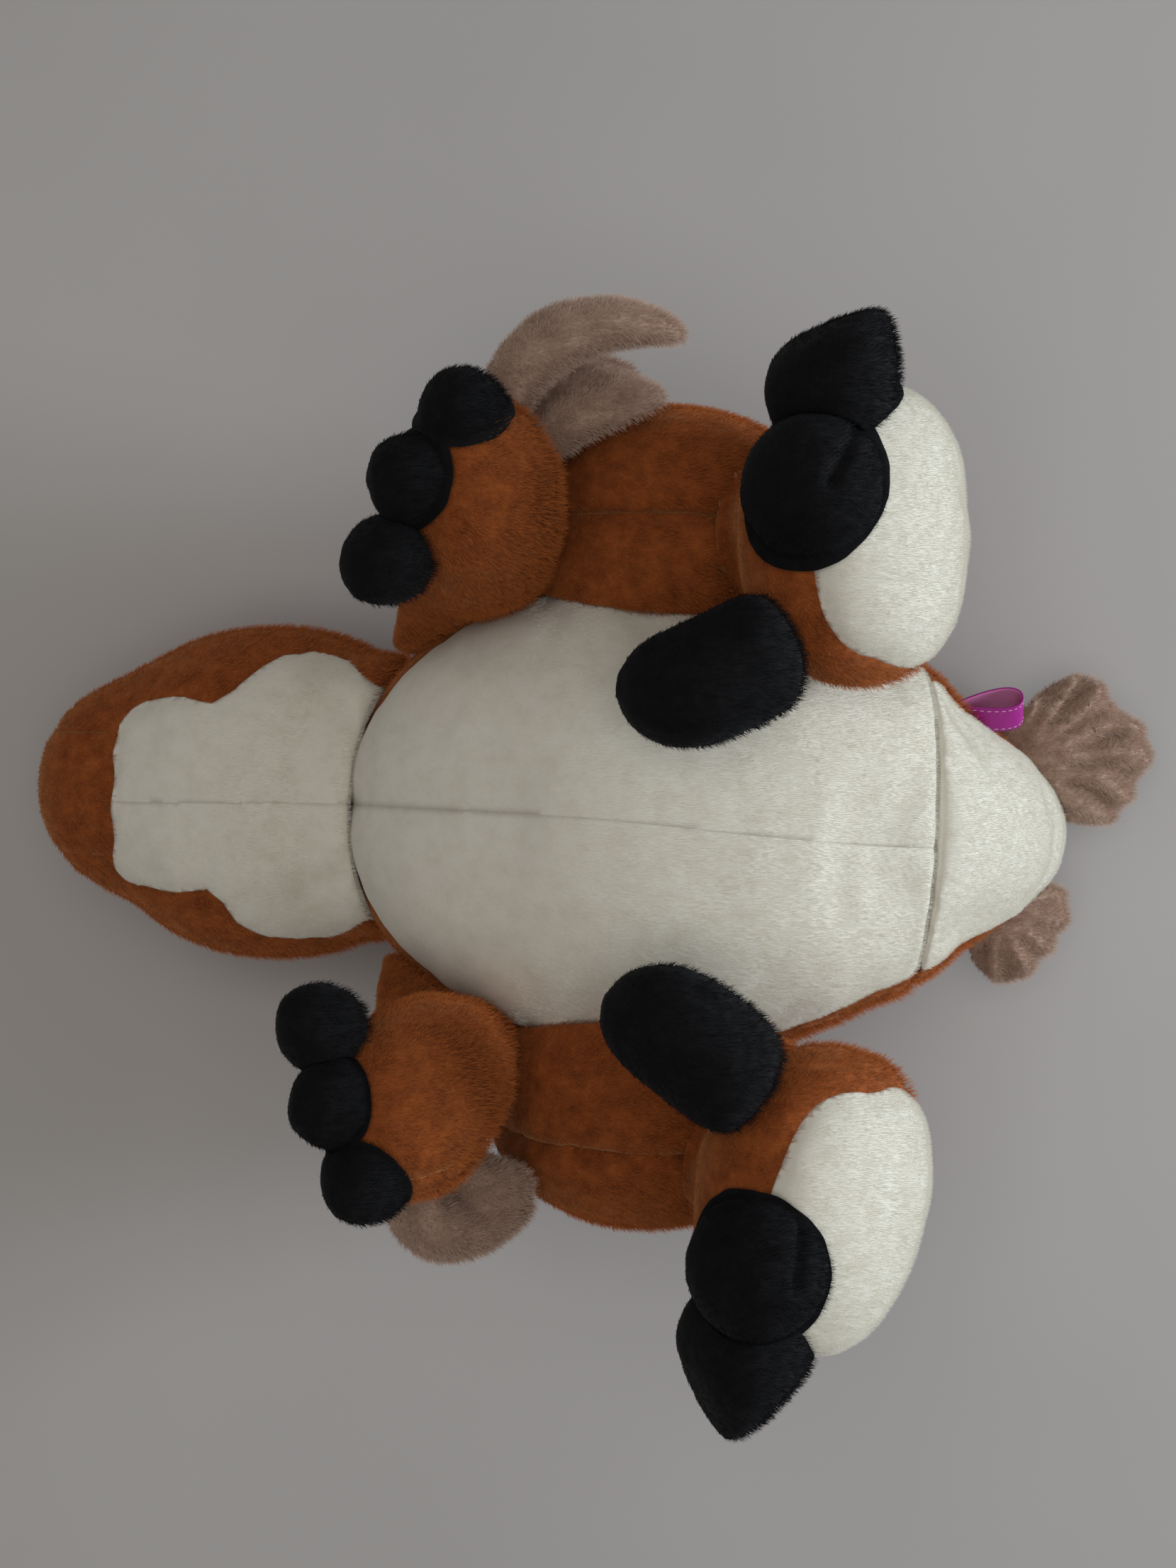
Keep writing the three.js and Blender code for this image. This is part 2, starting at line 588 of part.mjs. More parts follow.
// Arms: each hand is posed by its place beyond the shoulder, its claws by their places beyond
// the hand, and its feather by lobes that run from a root to a tip, with how far each lobe arches
const ARM_POSES = {
  left: {
    side: 1, back: -1, out: 31, up: 85,
    middleClaw: [-21, -1, 27], innerClaw: [-30, -29, 18], outerClaw: [-4, 23, 25],
    lobes: [
      { root: [-1, 9, -25], tip: [75, 71, -37], arch: 27 },
      { root: [1, 9, -33], tip: [69, 47, -47], arch: 8 },
      { root: [0, 9, -29], tip: [57, 61, -45], arch: 16 },
    ],
  },
  right: {
    side: -1, back: -17, out: 21, up: 85,
    middleClaw: [-24, -4, 27], innerClaw: [-31, -29, 18], outerClaw: [-12, 22, 26],
    lobes: [
      { root: [-9, 15, -29], tip: [43, 47, -52], arch: 26 },
      { root: [-3, 15, -33], tip: [43, 41, -47], arch: 6 },
      { root: [-7, 15, -37], tip: [35, 51, -65], arch: 12 },
    ],
  },
};

for (const [name, pose] of Object.entries(ARM_POSES)) {
  const { side } = pose;
  const shoulder = {
    at: point(SHOULDER_X, side * (bodySide - SHOULDER_INSET), SHOULDER_Z),
    axis: AXIS_Y,
    swing: ARM_SWING,
  };
  const hand = beyond(shoulder.at, pose.back, side * pose.out, pose.up);
  const along = hand.clone().sub(shoulder.at);
  const armFrame = frame(hand, along, point(0, side, 0));
  const armForms = [{
    frame: armFrame, front: HAND_DEPTH / 2 + 4, rear: along.length() + 26,
    side: HAND_WIDTH / 2, up: HAND_DEPTH / 2, down: HAND_DEPTH / 2,
    waist: { at: -0.6, depth: ARM_DRAW_IN, spread: 0.3, flat: true }, around: 12, rings: 10,
  }];
  const arm = stuffed(armForms, swept(bodySpace.add(thighRooms[name]), shoulder));
  const armGroup = limb(torsoGroup, `arm_${name}`, shoulder.at);
  const armOuter = arm.cloth.intersect(above(armFrame, SEAM_GAP / 2));
  const armInner = cut(arm.cloth, above(armFrame, -SEAM_GAP / 2));
  addPiece(armGroup, `arm_outer_panel_${name}`, armOuter, RUST);
  addPiece(armGroup, `arm_inner_panel_${name}`, armInner, RUST);
  addPiece(armGroup, `arm_stuffing_${name}`, arm.filling, FILL);

  // Claws stand on the hand's front edge
  const armSpace = blob(armForms, SEAM_GAP);
  const clawForm = ([x, out, z]) => {
    const offset = point(x, side * out, z);
    return {
      frame: frame(hand.clone().add(offset), offset, AXIS_Z),
      front: FINGER_LENGTH / 2, rear: FINGER_LENGTH / 2, side: FINGER_DIAMETER / 2,
      up: FINGER_DIAMETER / 2, down: FINGER_DIAMETER / 2, taper: 0.2, around: 8, rings: 6,
    };
  };
  const middle = clawForm(pose.middleClaw);
  const inner = clawForm(pose.innerClaw);
  const outer = clawForm(pose.outerClaw);
  const besideMiddle = armSpace.add(egg(middle, SEAM_GAP));
  addPiece(armGroup, `finger_claw_middle_${name}`, cut(egg(middle), armSpace), BLACK);
  addPiece(armGroup, `finger_claw_inner_${name}`, cut(egg(inner), besideMiddle), BLACK);
  addPiece(armGroup, `finger_claw_outer_${name}`, cut(egg(outer), besideMiddle), BLACK);

  // The feather hangs from the outer seam and clears the thigh at each end of both swings
  const spot = ([x, out, z]) => beyond(hand, x, side * out, z);
  const lobes = pose.lobes.map(({ root, tip, arch }) =>
    lobe(spot(root), spot(tip), point(0, side, 0.2), FEATHER_WIDTH, arch));
  const wingSwing = WING_SWING.map((turn) => side * turn).sort((a, b) => a - b);
  const wing = { at: spot(pose.lobes[0].root), axis: AXIS_Z, swing: wingSwing };
  const around = blob(armForms, JOINT_GAP).add(swept(thighRooms[name], shoulder));
  addFeather(armGroup, `arm_feather_${name}`, lobes, wing, around);
}

export default toy;
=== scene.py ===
"""Plush velociraptor on its back: stuffed skins, sewn panels, claws, feathers, eyes and ribbon tag."""
from collections import namedtuple
from math import atan2, cos, pi, radians, sin

import bmesh
import bpy
import numpy as np
from mathutils import Matrix, Vector, noise


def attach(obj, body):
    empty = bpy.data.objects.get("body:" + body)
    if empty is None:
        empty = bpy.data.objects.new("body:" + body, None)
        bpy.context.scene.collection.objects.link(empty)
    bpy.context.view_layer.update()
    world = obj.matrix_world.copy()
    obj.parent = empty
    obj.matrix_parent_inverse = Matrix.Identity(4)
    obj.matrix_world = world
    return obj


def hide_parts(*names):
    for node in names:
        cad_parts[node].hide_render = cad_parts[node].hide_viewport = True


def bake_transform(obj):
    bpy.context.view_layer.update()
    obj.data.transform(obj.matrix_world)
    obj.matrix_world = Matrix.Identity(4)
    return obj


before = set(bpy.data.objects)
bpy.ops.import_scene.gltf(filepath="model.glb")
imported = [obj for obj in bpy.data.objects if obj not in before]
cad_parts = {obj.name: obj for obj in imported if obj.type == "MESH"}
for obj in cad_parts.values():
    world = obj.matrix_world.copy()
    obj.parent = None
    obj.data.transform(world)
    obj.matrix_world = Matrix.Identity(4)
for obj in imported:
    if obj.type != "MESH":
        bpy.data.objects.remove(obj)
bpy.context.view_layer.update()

scene = bpy.context.scene

# Sizes are in millimetres, as in the CAD source, and meshes are made in metres
MM = 0.001
SIDES = {"left": 1, "right": -1}

CLOTH = 2.0  # thickness of a panel
SKIN_VOXEL = 6.0  # cloth grid of a stuffed skin
CLAW_VOXEL = 4.0
FEATHER_VOXEL = 3.0
PRESS_GAP = 0.4  # between two skins that are pressed together
SWELL = 2.0  # how far a skin starts inside its form before it is filled
SWELL_CAP = 4.5  # how far a point may move while it is filled
FLOOR_GAP = 0.6  # between the floor and the lowest cloth
SEAM_DEPTH = 1.3
SEAM_SPREAD = 2.6
SEAM_UNEVEN, SEAM_UNEVEN_SIZE = 0.3, 7
SEAM_SNAP = 0.2  # a point this close to a seam lies on it
SEAM_OVERRUN = 2.0  # how far a seam runs past the seam where it ends
SEAM_BARE, SEAM_BARE_REACH = 0.9, 1.5  # how much pile a tight seam hides, and how far
PUCKER, PUCKER_SIZE, PUCKER_REACH = 0.7, 6, 9
FILL_FRAMES = 20
SMOOTH_ROUNDS = 3
PRESSED = 0.5  # a point that is moved further than this is held in place
HELD_REACH, HELD_TIGHT = 0.6 * SKIN_VOXEL, 0.4  # a tight seam is held this far to each side
FAR, PUSH_STEPS = 80.0, 28  # search for a form's surface: its end and its halvings

# Heights and sizes of lumps in the filling and the pile
STUFFING_LUMPS = ((0.7, 40), (0.2, 18))
CLAW_LUMPS = ((0.5, 12), (0.35, 5))
FEATHER_RIPPLES = ((1.2, 11), (0.6, 5))


def unit(vector):
    vector = np.asarray(vector, float)
    return vector / np.linalg.norm(vector)


def unit_rows(vectors):
    return vectors / np.maximum(np.linalg.norm(vectors, axis=1, keepdims=True), 1e-9)


def lengths(vectors):
    return np.linalg.norm(vectors, axis=1)


def bell(value, spread):
    return np.exp(-((value / spread) ** 2))


def halve(low, high, steps, short):
    """The places where a value stops being too short, found by halving."""
    for _ in range(steps):
        middle = (low + high) / 2
        still = short(middle)
        low, high = np.where(still, middle, low), np.where(still, high, middle)
    return high


class Form:
    """A stuffed form round an axis: its reach to front and rear, and its swell to side, up and down."""

    def __init__(self, at, along, toward, front, rear, side, up, down,
                 blunt=2.0, rear_blunt=None, square=2.0, taper=0.0, arch=0.0, waist=None):
        x = unit(along)
        y = unit(np.cross(toward, x))
        self.axes = np.array([x, y, np.cross(x, y)])
        self.at = np.asarray(at, float)
        self.front, self.rear, self.side, self.up, self.down = front, rear, side, up, down
        self.blunt, self.rear_blunt = blunt, rear_blunt or blunt
        self.square, self.taper, self.arch, self.waist = square, taper, arch, waist

    def swell(self, t):
        """The shares of its full width and height that the form has along its axis."""
        size = np.sqrt(np.clip(1 - np.abs(t) ** np.where(t < 0, self.rear_blunt, self.blunt), 0, None))
        size = size * (1 - self.taper * np.clip(t, 0, None))
        if not self.waist:
            return size, size
        at, depth, spread, flat = self.waist
        drawn = size * (1 - depth * bell(t - at, spread))
        return (size if flat else drawn), drawn

    def spots(self, t, angle, grow=0.0):
        t, angle = np.broadcast_arrays(np.asarray(t, float), np.asarray(angle, float))
        rise, wide = (np.sign(v) * np.abs(v) ** (2 / self.square) for v in (np.sin(angle), np.cos(angle)))
        breadth, height = self.swell(t)
        local = np.stack([
            t * (np.where(t > 0, self.front, self.rear) + grow),
            (self.side + grow) * breadth * wide,
            (np.where(rise > 0, self.up, self.down) + grow) * height * rise + self.arch * (1 - t * t),
        ], -1)
        return local @ self.axes + self.at

    def local(self, points):
        return (points - self.at) @ self.axes.T

    def holds(self, points, grow):
        """Which points lie inside the form when it has grown all round."""
        x, y, z = self.local(points).T
        t = x / (np.where(x > 0, self.front, self.rear) + grow)
        z = z - self.arch * (1 - np.clip(t, -1, 1) ** 2)
        breadth, height = np.maximum(self.swell(np.clip(t, -1, 1)), 1e-6)
        wide = np.abs(y) / ((self.side + grow) * breadth)
        tall = np.abs(z) / ((np.where(z > 0, self.up, self.down) + grow) * height)
        return (np.abs(t) < 1) & (wide ** self.square + tall ** self.square < 1)

    def depth(self, points):
        """About how far each point lies outside the form."""
        x, y, z = self.local(points).T
        reach = np.where(x > 0, self.front, self.rear)
        tall = np.where(z > 0, self.up, self.down)
        ratio = np.sqrt((x / reach) ** 2 + (y / self.side) ** 2 + (z / tall) ** 2)
        return lengths(points - self.at) * (1 - 1 / np.maximum(ratio, 1e-6))

    def push_out(self, points, gap):
        """Points inside the form go straight out of it, away from its middle."""
        points = points.copy()
        inside = self.holds(points, gap)
        away = points[inside] - self.at
        away[lengths(away) < 1e-6] = self.axes[0]
        share = halve(np.ones(len(away)), np.full(len(away), FAR), PUSH_STEPS,
                      lambda middle: self.holds(self.at + away * middle[:, None], gap))
        points[inside] = self.at + away * share[:, None]
        return points

    def grid(self, grow=0.0, rings=40, around=56):
        """Points and faces of the whole form, from pole to pole."""
        t = -np.cos(np.linspace(0, pi, rings + 1))[1:-1]
        angle = np.arange(around) * 2 * pi / around
        points = self.spots(t[:, None], angle[None, :], grow).reshape(-1, 3)
        poles = self.spots(np.array([-1.0, 1.0]), np.zeros(2), grow)
        return tube(points, len(t), around, poles)


def grid_faces(start, rings, corners, closed=True):
    """Faces between rings of corners, going round where they are closed."""
    faces = []
    for row in range(start, start + (rings - 1) * corners, corners):
        for j in range(corners if closed else corners - 1):
            k = (j + 1) % corners
            faces.append((row + j, row + k, row + corners + k, row + corners + j))
    return faces


def tube(points, rings, around, poles):
    """A closed mesh of rings of points with a pole at each end."""
    faces = grid_faces(0, rings, around)
    last = (rings - 1) * around
    for j in range(around):
        k = (j + 1) % around
        faces.append((len(points), k, j))
        faces.append((len(points) + 1, last + j, last + k))
    return np.vstack([points, poles]), faces


# Forms of the toy, which start from the values of the CAD source
BODY = Form((0, 0, 93), (1, 0, 0), (0, 0, 1), 144, 128, 103, 93.5, 93.5, square=2.2)
TAIL_SEAM_X = 113.0
HEAD = Form((-157, 0, 62), (-1, 0, 0), (0, 0, 1), 109, 75, 72.5, 60.5, 60.5,
            square=2.1, waist=(0.66, 0.12, 0.22, False))
TAIL_DROOP, TAIL_TURN = radians(32), radians(3.5)
TAIL_ALONG = (cos(TAIL_DROOP) * cos(TAIL_TURN), -cos(TAIL_DROOP) * sin(TAIL_TURN), -sin(TAIL_DROOP))
TAIL = Form((87, 0, 88), TAIL_ALONG, (0, 0, 1), 126, 50, 78, 77, 69, taper=0.6, blunt=3)
HIP = (3, 118, 106)
SHOULDER = (-70, 88, 112)

# Each leg: the paw from the hip, claws on the paw (to toe, outward, to sole), how far the thigh's seam
# lies out, how far the sole reaches down inside, how far the heel draws in, and the middle toe's dart
LEG_POSES = {
    "left": dict(paw=(71, -9, 84), toe_out=4, middle=(45, 9, 4), outer=(32, 50, 2),
                 outer_along=(-0.52, 0.85, 0.11), sickle=(58, -61, -28.5),
                 thigh_seam=0, sole_drop=(11, 4), heel=9, dart=(4, radians(27))),
    "right": dict(paw=(64, 22, 84), toe_out=-5, middle=(45, 18, 4), outer=(32, 55, -5),
                  outer_along=(-0.23, 0.95, -0.2), sickle=(60, -57, -32.5),
                  thigh_seam=13, sole_drop=(13, 5), heel=19, dart=(12, radians(8))),
}
# Each arm: the hand from the shoulder, claws and feather lobes (root, tip, arch) from the hand
ARM_POSES = {
    "left": dict(hand=(-1, 31, 85), claws={
        "middle": (-21, -1, 27), "inner": (-30, -29, 18), "outer": (-4, 23, 25),
    }, lobes=[
        ((-1, 9, -25), (75, 71, -37), 27),
        ((1, 9, -33), (69, 47, -47), 8),
        ((0, 9, -46), (55, 60, -68), 16),
    ]),
    "right": dict(hand=(-17, 21, 85), claws={
        "middle": (-24, -4, 27), "inner": (-31, -29, 18), "outer": (-12, 22, 26),
    }, lobes=[
        ((-9, 15, -29), (43, 47, -52), 26),
        ((-3, 15, -33), (43, 41, -47), 6),
        ((-7, 15, -48), (35, 51, -72), 12),
    ]),
}
# Each tail feather: its root, lobes (root, tip, share of the full width) from there, and its pleats
FAN_POSES = {
    "left": dict(fan=(166, 30, 42), lobes=[
        ((-8, -4, 0), (42, 34, -8), 0.8),
        ((-8, -5, 0), (52, 23, -10), 0.8),
        ((-8, -6, 0), (65, 10, -10), 0.8),
        ((-5, -9, 0), (60, -3, -12), 0.8),
        ((-2, -12, 0), (54, -15, -12), 0.7),
    ], pleats=3),
    "right": dict(fan=(158, -36, 42), lobes=[
        ((-8, 4, 0), (18, -30, -10), 0.8),
        ((-8, 5, 0), (29, -20, -12), 0.8),
        ((-8, 6, 0), (36, -6, -14), 0.8),
    ], pleats=2),
}
FEATHER_WIDTH, FEATHER_THICKNESS = 38.0, 20.0
FEATHER_ROOT = (-1.0, 0.6, 0.5, True)  # the waist that thins a lobe where it is sewn on
WING_FLAT, WING_BLUNT = 0.35, 5.0
FAN_ARCH, FAN_BLUNT = 4, 6.5
ANKLE_REACH = 60  # from the hip towards the paw
SICKLE_REACH = 31.5  # from the sickle claw's middle back to its root
TOE_RISE = radians(53)
SOLE_SEAM = 5.0
HEEL_FULL = 9  # how far the heel goes out on its inner side
FIN_LOW, FIN_LOWEST, FIN_THICK = 5, 32, 14
ARM_SEAM_SHIFT = 17  # of the seam at the hand, towards the hand's outer edge
DART_HIDDEN = 30  # added to the distance where a dart has ended

# Ends of joint ranges, in degrees, where a limb comes closest to its neighbour, and the room left there
HIP_BACK, ANKLE_BACK, SHOULDER_BACK, WING_IN = 12.0, 12.0, 6.0, 3.0
FOOT_ROOM, WING_ROOM = 8.0, 2.0


def mirrored(side, spot):
    x, out, z = spot
    return np.array([x, side * out, z], float)


class Leg:
    """One leg's forms: thigh, paw, ankle, two toes and the sickle claw."""

    def __init__(self, name):
        side, pose = SIDES[name], LEG_POSES[name]
        self.side, self.pose = side, pose
        self.hip = mirrored(side, HIP)
        self.thigh = Form(self.hip, (0, side, 0), (0, 0, 1), 52, 62, 66, 66, 66, blunt=2.4)
        self.paw_at = self.hip + mirrored(side, pose["paw"])
        turn_out = -side * radians(pose["toe_out"])
        c, s = cos(turn_out), sin(turn_out)
        spin = np.array([[c, -s, 0], [s, c, 0], [0, 0, 1]])
        self.toeward = spin @ (-cos(TOE_RISE), 0, sin(TOE_RISE))
        self.soleward = spin @ (sin(TOE_RISE), 0, cos(TOE_RISE))
        self.outward = spin @ (0, side, 0)
        self.paw = Form(self.paw_at, self.toeward, self.soleward, 53, 53, 59, 36, 44,
                        blunt=2.3, square=2.2)
        self.to_paw = unit(self.paw_at - self.hip)
        self.ankle_at = self.hip + ANKLE_REACH * self.to_paw
        self.ankle = Form(self.ankle_at, self.to_paw, self.soleward, 40, 24, 30, 30, 30)
        self.middle = Form(self.on_paw(*pose["middle"]) + self.paw_at, self.on_paw(1, 0, 0.1),
                           self.soleward, 28.5, 26.5, 26.5, 25.5, 25.5)
        self.outer = Form(self.on_paw(*pose["outer"]) + self.paw_at, self.on_paw(*pose["outer_along"]),
                          self.soleward, 35.5, 28.5, 25.5, 24.5, 24.5, taper=0.62, blunt=3)
        along = unit(self.on_paw(0.53, -0.47, -0.71))
        self.sickle = Form(self.on_paw(*pose["sickle"]) + self.paw_at, along, self.soleward,
                           30, 38, 22.5, 23, 23, taper=0.15, arch=5, blunt=3.4, rear_blunt=8)
        self.sickle_root = self.sickle.at - SICKLE_REACH * along
        self.sickle_along = along

    def on_paw(self, toe, out, sole):
        return toe * self.toeward + out * self.outward + sole * self.soleward

    def on_axes(self, points):
        """Each point's places toeward, outward and soleward of the paw's middle."""
        away = points - self.paw_at
        return away @ self.toeward, away @ self.outward, away @ self.soleward

    def thigh_field(self, points):
        return self.side * points[:, 1] - abs(self.hip[1]) - self.pose["thigh_seam"]

    def sole_field(self, points):
        toe, out, sole = self.on_axes(points)
        inner = smoothstep(15, -50, out) * smoothstep(45, 0, toe)
        corner = smoothstep(20, -40, out) * smoothstep(-35, 25, toe)
        drop, corner_drop = self.pose["sole_drop"]
        return sole - SOLE_SEAM - drop * inner - corner_drop * corner

    def heel(self, points):
        """The heel is fuller on the inner side than on the outer."""
        toe, out, _ = self.on_axes(points)
        push = np.where(out > 0, self.pose["heel"], HEEL_FULL)
        push = push * np.clip(-toe / self.paw.rear, 0, 1) * np.clip(out / self.paw.side, -0.7, 1.2)
        return points + push[:, None] * self.toeward

    def foot_room(self, points):
        """The foot stays clear of the body when hip and ankle are bent right back."""
        turns = [("Y", self.ankle_at, ANKLE_BACK), ("Y", self.hip, HIP_BACK)]
        on_foot = smoothstep(0, 20, (points - self.ankle_at) @ self.to_paw)
        return points + on_foot[:, None] * (clear_of(points, BODY, FOOT_ROOM, turns) - points)

    def dart(self, points):
        """How far each point is from the dart on the middle toe's upper side."""
        start, lean = self.pose["dart"]
        x, y, z = (points - self.middle.at).T
        across = (x - start) * cos(lean) - y * sin(lean)
        along = (x - start) * sin(lean) + y * cos(lean)
        return np.abs(across) + DART_HIDDEN * (smoothstep(4, -10, z) + smoothstep(-2, -14, along))


class Arm:
    """One arm's forms: the arm with its hand, three claws and the feather's lobes."""

    def __init__(self, name):
        side, pose = SIDES[name], ARM_POSES[name]
        self.side, self.thigh = side, LEGS[name].thigh
        self.shoulder = mirrored(side, SHOULDER)
        self.hand = self.shoulder + mirrored(side, pose["hand"])
        lobes = [[self.hand + mirrored(side, spot) for spot in ends] for *ends, _ in pose["lobes"]]
        along = self.hand - self.shoulder
        self.along = unit(along)
        self.arm = Form(self.hand, along, (0, side, 0), 40, np.linalg.norm(along) + 26, 33, 36, 36,
                        waist=(-0.6, 0.3, 0.3, True))
        self.claws = {}
        for claw, offset in pose["claws"].items():
            offset = mirrored(side, offset)
            self.claws[claw] = Form(self.hand + offset, offset, (0, 0, 1), 19, 19, 17, 17, 17, taper=0.2)
        self.lobes = [lobe(*ends, (0, side, WING_FLAT), FEATHER_WIDTH, arch, WING_BLUNT)
                      for ends, (_, _, arch) in zip(lobes, pose["lobes"])]
        self.wing_root, self.wing_tip = lobes[0]

    def fin(self, points):
        """The arm's front seam runs down to the neck as a fin."""
        x, y, z = self.arm.local(points).T
        front = smoothstep(2, 20, -np.sign(self.arm.axes[1][0]) * y)
        low = FIN_LOW * smoothstep(-20, -45, x) + FIN_LOWEST * smoothstep(-40, -95, x)
        down = unit((-0.55, -0.7 * self.side, -0.3))
        return points + (low * front * bell(z, FIN_THICK))[:, None] * down

    def seam_field(self, points):
        """The seam between the arm's panels runs round the outer edge of the hand."""
        x, _, z = self.arm.local(points).T
        return z - ARM_SEAM_SHIFT * smoothstep(-60, 0, x)

    def wing_room(self, points):
        """The wing stays clear of the thigh when arm and wing are bent right back."""
        turns = [("Z", self.wing_root, -self.side * WING_IN), ("Y", self.shoulder, SHOULDER_BACK)]
        return clear_of(points, self.thigh, WING_ROOM, turns)


def lobe(root, tip, flat, width, arch, blunt):
    """One lobe of a feather, thin where it is sewn on."""
    half = np.linalg.norm(tip - root) / 2
    return Form((root + tip) / 2, tip - root, flat, half, half, width / 2,
                FEATHER_THICKNESS / 2, FEATHER_THICKNESS / 2, blunt=blunt, arch=arch, waist=FEATHER_ROOT)


LEGS = {name: Leg(name) for name in SIDES}
ARMS = {name: Arm(name) for name in SIDES}


# Mesh helpers
def put(item, **values):
    """Sets several values of one of Blender's items."""
    for key, value in values.items():
        setattr(item, key, value)


def add_object(name, data):
    obj = bpy.data.objects.new(name, data)
    scene.collection.objects.link(obj)
    return obj


def new_object(name, points, faces):
    mesh = bpy.data.meshes.new(name)
    mesh.from_pydata([tuple(p) for p in np.asarray(points) * MM], [], faces)
    mesh.update()
    return add_object(name, mesh)


def rows_of(items, key):
    flat = np.empty(len(items) * 3)
    items.foreach_get(key, flat)
    return flat.reshape(-1, 3)


def points_of(obj):
    return rows_of(obj.data.vertices, "co") / MM


def normals_of(obj):
    return rows_of(obj.data.vertex_normals, "vector")


def set_points(obj, points):
    obj.data.vertices.foreach_set("co", (points * MM).ravel())
    obj.data.update()


def shade_smooth(obj):
    obj.data.polygons.foreach_set("use_smooth", np.ones(len(obj.data.polygons), bool))


def weigh(obj, name, weights):
    """A vertex group of the points that have a weight."""
    group = obj.vertex_groups.new(name=name)
    for index in np.nonzero(weights > 0)[0]:
        group.add([int(index)], float(weights[index]), "REPLACE")


def apply_modifiers(obj):
    graph = bpy.context.evaluated_depsgraph_get()
    mesh = bpy.data.meshes.new_from_object(obj.evaluated_get(graph))
    old = obj.data
    obj.modifiers.clear()
    obj.data = mesh
    bpy.data.meshes.remove(old)
    mesh.name = obj.name


def modify(obj, kind, **values):
    put(obj.modifiers.new(kind.lower(), kind), **values)
    apply_modifiers(obj)


def smooth(obj, rounds):
    modify(obj, "SMOOTH", factor=0.5, iterations=rounds)


def union(name, grids, voxel, rounds):
    """One skin round several closed grids."""
    points, faces = [], []
    for part, part_faces in grids:
        start = sum(len(p) for p in points)
        points.append(part)
        faces += [tuple(start + i for i in face) for face in part_faces]
    obj = new_object(name, np.vstack(points), faces)
    modify(obj, "REMESH", mode="VOXEL", voxel_size=voxel * MM)
    smooth(obj, rounds)
    return obj


def lumps(points, size, seed):
    """A smooth random value from -1 to 1 at each point, for lumps of a size."""
    shift = Vector((seed * 17.3, seed * 5.1, seed * 9.7))
    return np.array([noise.noise(Vector(p) / size + shift) for p in points])


def lumpy(points, layers, seed):
    """Lumps of several heights and sizes, added up."""
    return sum(height * lumps(points, size, seed + i) for i, (height, size) in enumerate(layers))


def press(points, forms):
    moved = points
    for form in forms:
        moved = form.push_out(moved, PRESS_GAP)
    return moved


def turned(points, axis, pivot, degrees):
    spin = np.array(Matrix.Rotation(radians(degrees), 3, axis))
    return (points - pivot) @ spin.T + pivot


def clear_of(points, form, gap, turns):
    """Points that stay outside a form when the joints that carry them are turned to their limits."""
    moved = points
    for axis, pivot, degrees in turns:
        moved = turned(moved, axis, pivot, degrees)
    moved = form.push_out(moved, gap)
    for axis, pivot, degrees in reversed(turns):
        moved = turned(moved, axis, pivot, -degrees)
    return moved


# Seams: each field is the signed distance from a seam, positive on its first side
def smoothstep(low, high, value):
    t = np.clip((value - low) / (high - low), 0, 1)
    return t * t * (3 - 2 * t)


BELLY_RISE, BELLY_LIFT = radians(18), 9
BELLY_BEND, CHIN_BEND = 8, 3


def belly_field(points):
    """The belly's side seams, lifted a little at the right rear."""
    x, y, z = BODY.local(points).T
    lifted = BELLY_LIFT * smoothstep(0, 80, x) * (y < 0)
    return z * cos(BELLY_RISE) - np.abs(y) * sin(BELLY_RISE) - lifted


def belly_middle(points):
    """The middle seam bends a little to the toy's right towards the tail."""
    return points[:, 1] + BELLY_BEND * smoothstep(-60, 110, points[:, 0])


def outline_distance(points, corners):
    """Signed distance from a closed outline, positive inside."""
    best = np.full(len(points), 1e9)
    inside = np.zeros(len(points), bool)
    for a, b in zip(corners, np.roll(corners, -1, axis=0)):
        edge = b - a
        share = np.clip(((points - a) @ edge) / (edge @ edge), 0, 1)
        best = np.minimum(best, lengths(points - a - share[:, None] * edge))
        spans = (a[1] > points[:, 1]) != (b[1] > points[:, 1])
        cross = a[0] + (points[:, 1] - a[1]) * edge[0] / (edge[1] if abs(edge[1]) > 1e-9 else 1e-9)
        inside ^= spans & (points[:, 0] < cross)
    return np.where(inside, best, -best)


# The chin patch: square at the muzzle, wide at the jowls, then back under the neck
CHIN_RIGHT = [(68, 20), (68, 31), (65.4, 37.4), (59, 40), (40, 40.3), (26, 40), (19, 45), (12, 53.3),
              (2, 58.5), (-9, 60.5), (-26, 57), (-42, 49.5), (-300, 49.5)]
CHIN_LEFT = [(68, 20), (68, 31), (63, 38), (56, 41), (40, 41), (26, 40), (18, 45), (9, 54.5),
             (-2, 63), (-13, 65), (-28, 60), (-44, 50.5), (-300, 49.5)]
CHIN = np.array(CHIN_RIGHT + [(x, -y) for x, y in reversed(CHIN_LEFT)], float)
GUSSET_HALF = 26.5


def chin_field(points):
    """The chin's outline, which waves a little, on the side of the head that shows."""
    x, y, z = HEAD.local(points).T
    wave = 0.85 * np.sin(x / 5.3) + 0.55 * np.sin(y / 3.7)
    return np.minimum(outline_distance(np.stack([x, y], 1), CHIN) + wave, z)


def gusset_field(points):
    """The head's sides, on both sides of the gusset."""
    return np.abs(points[:, 1]) - GUSSET_HALF


def chin_middle(points):
    """The chin's middle seam, a little to the right at the muzzle."""
    return points[:, 1] + CHIN_BEND * smoothstep(-120, -230, points[:, 0])


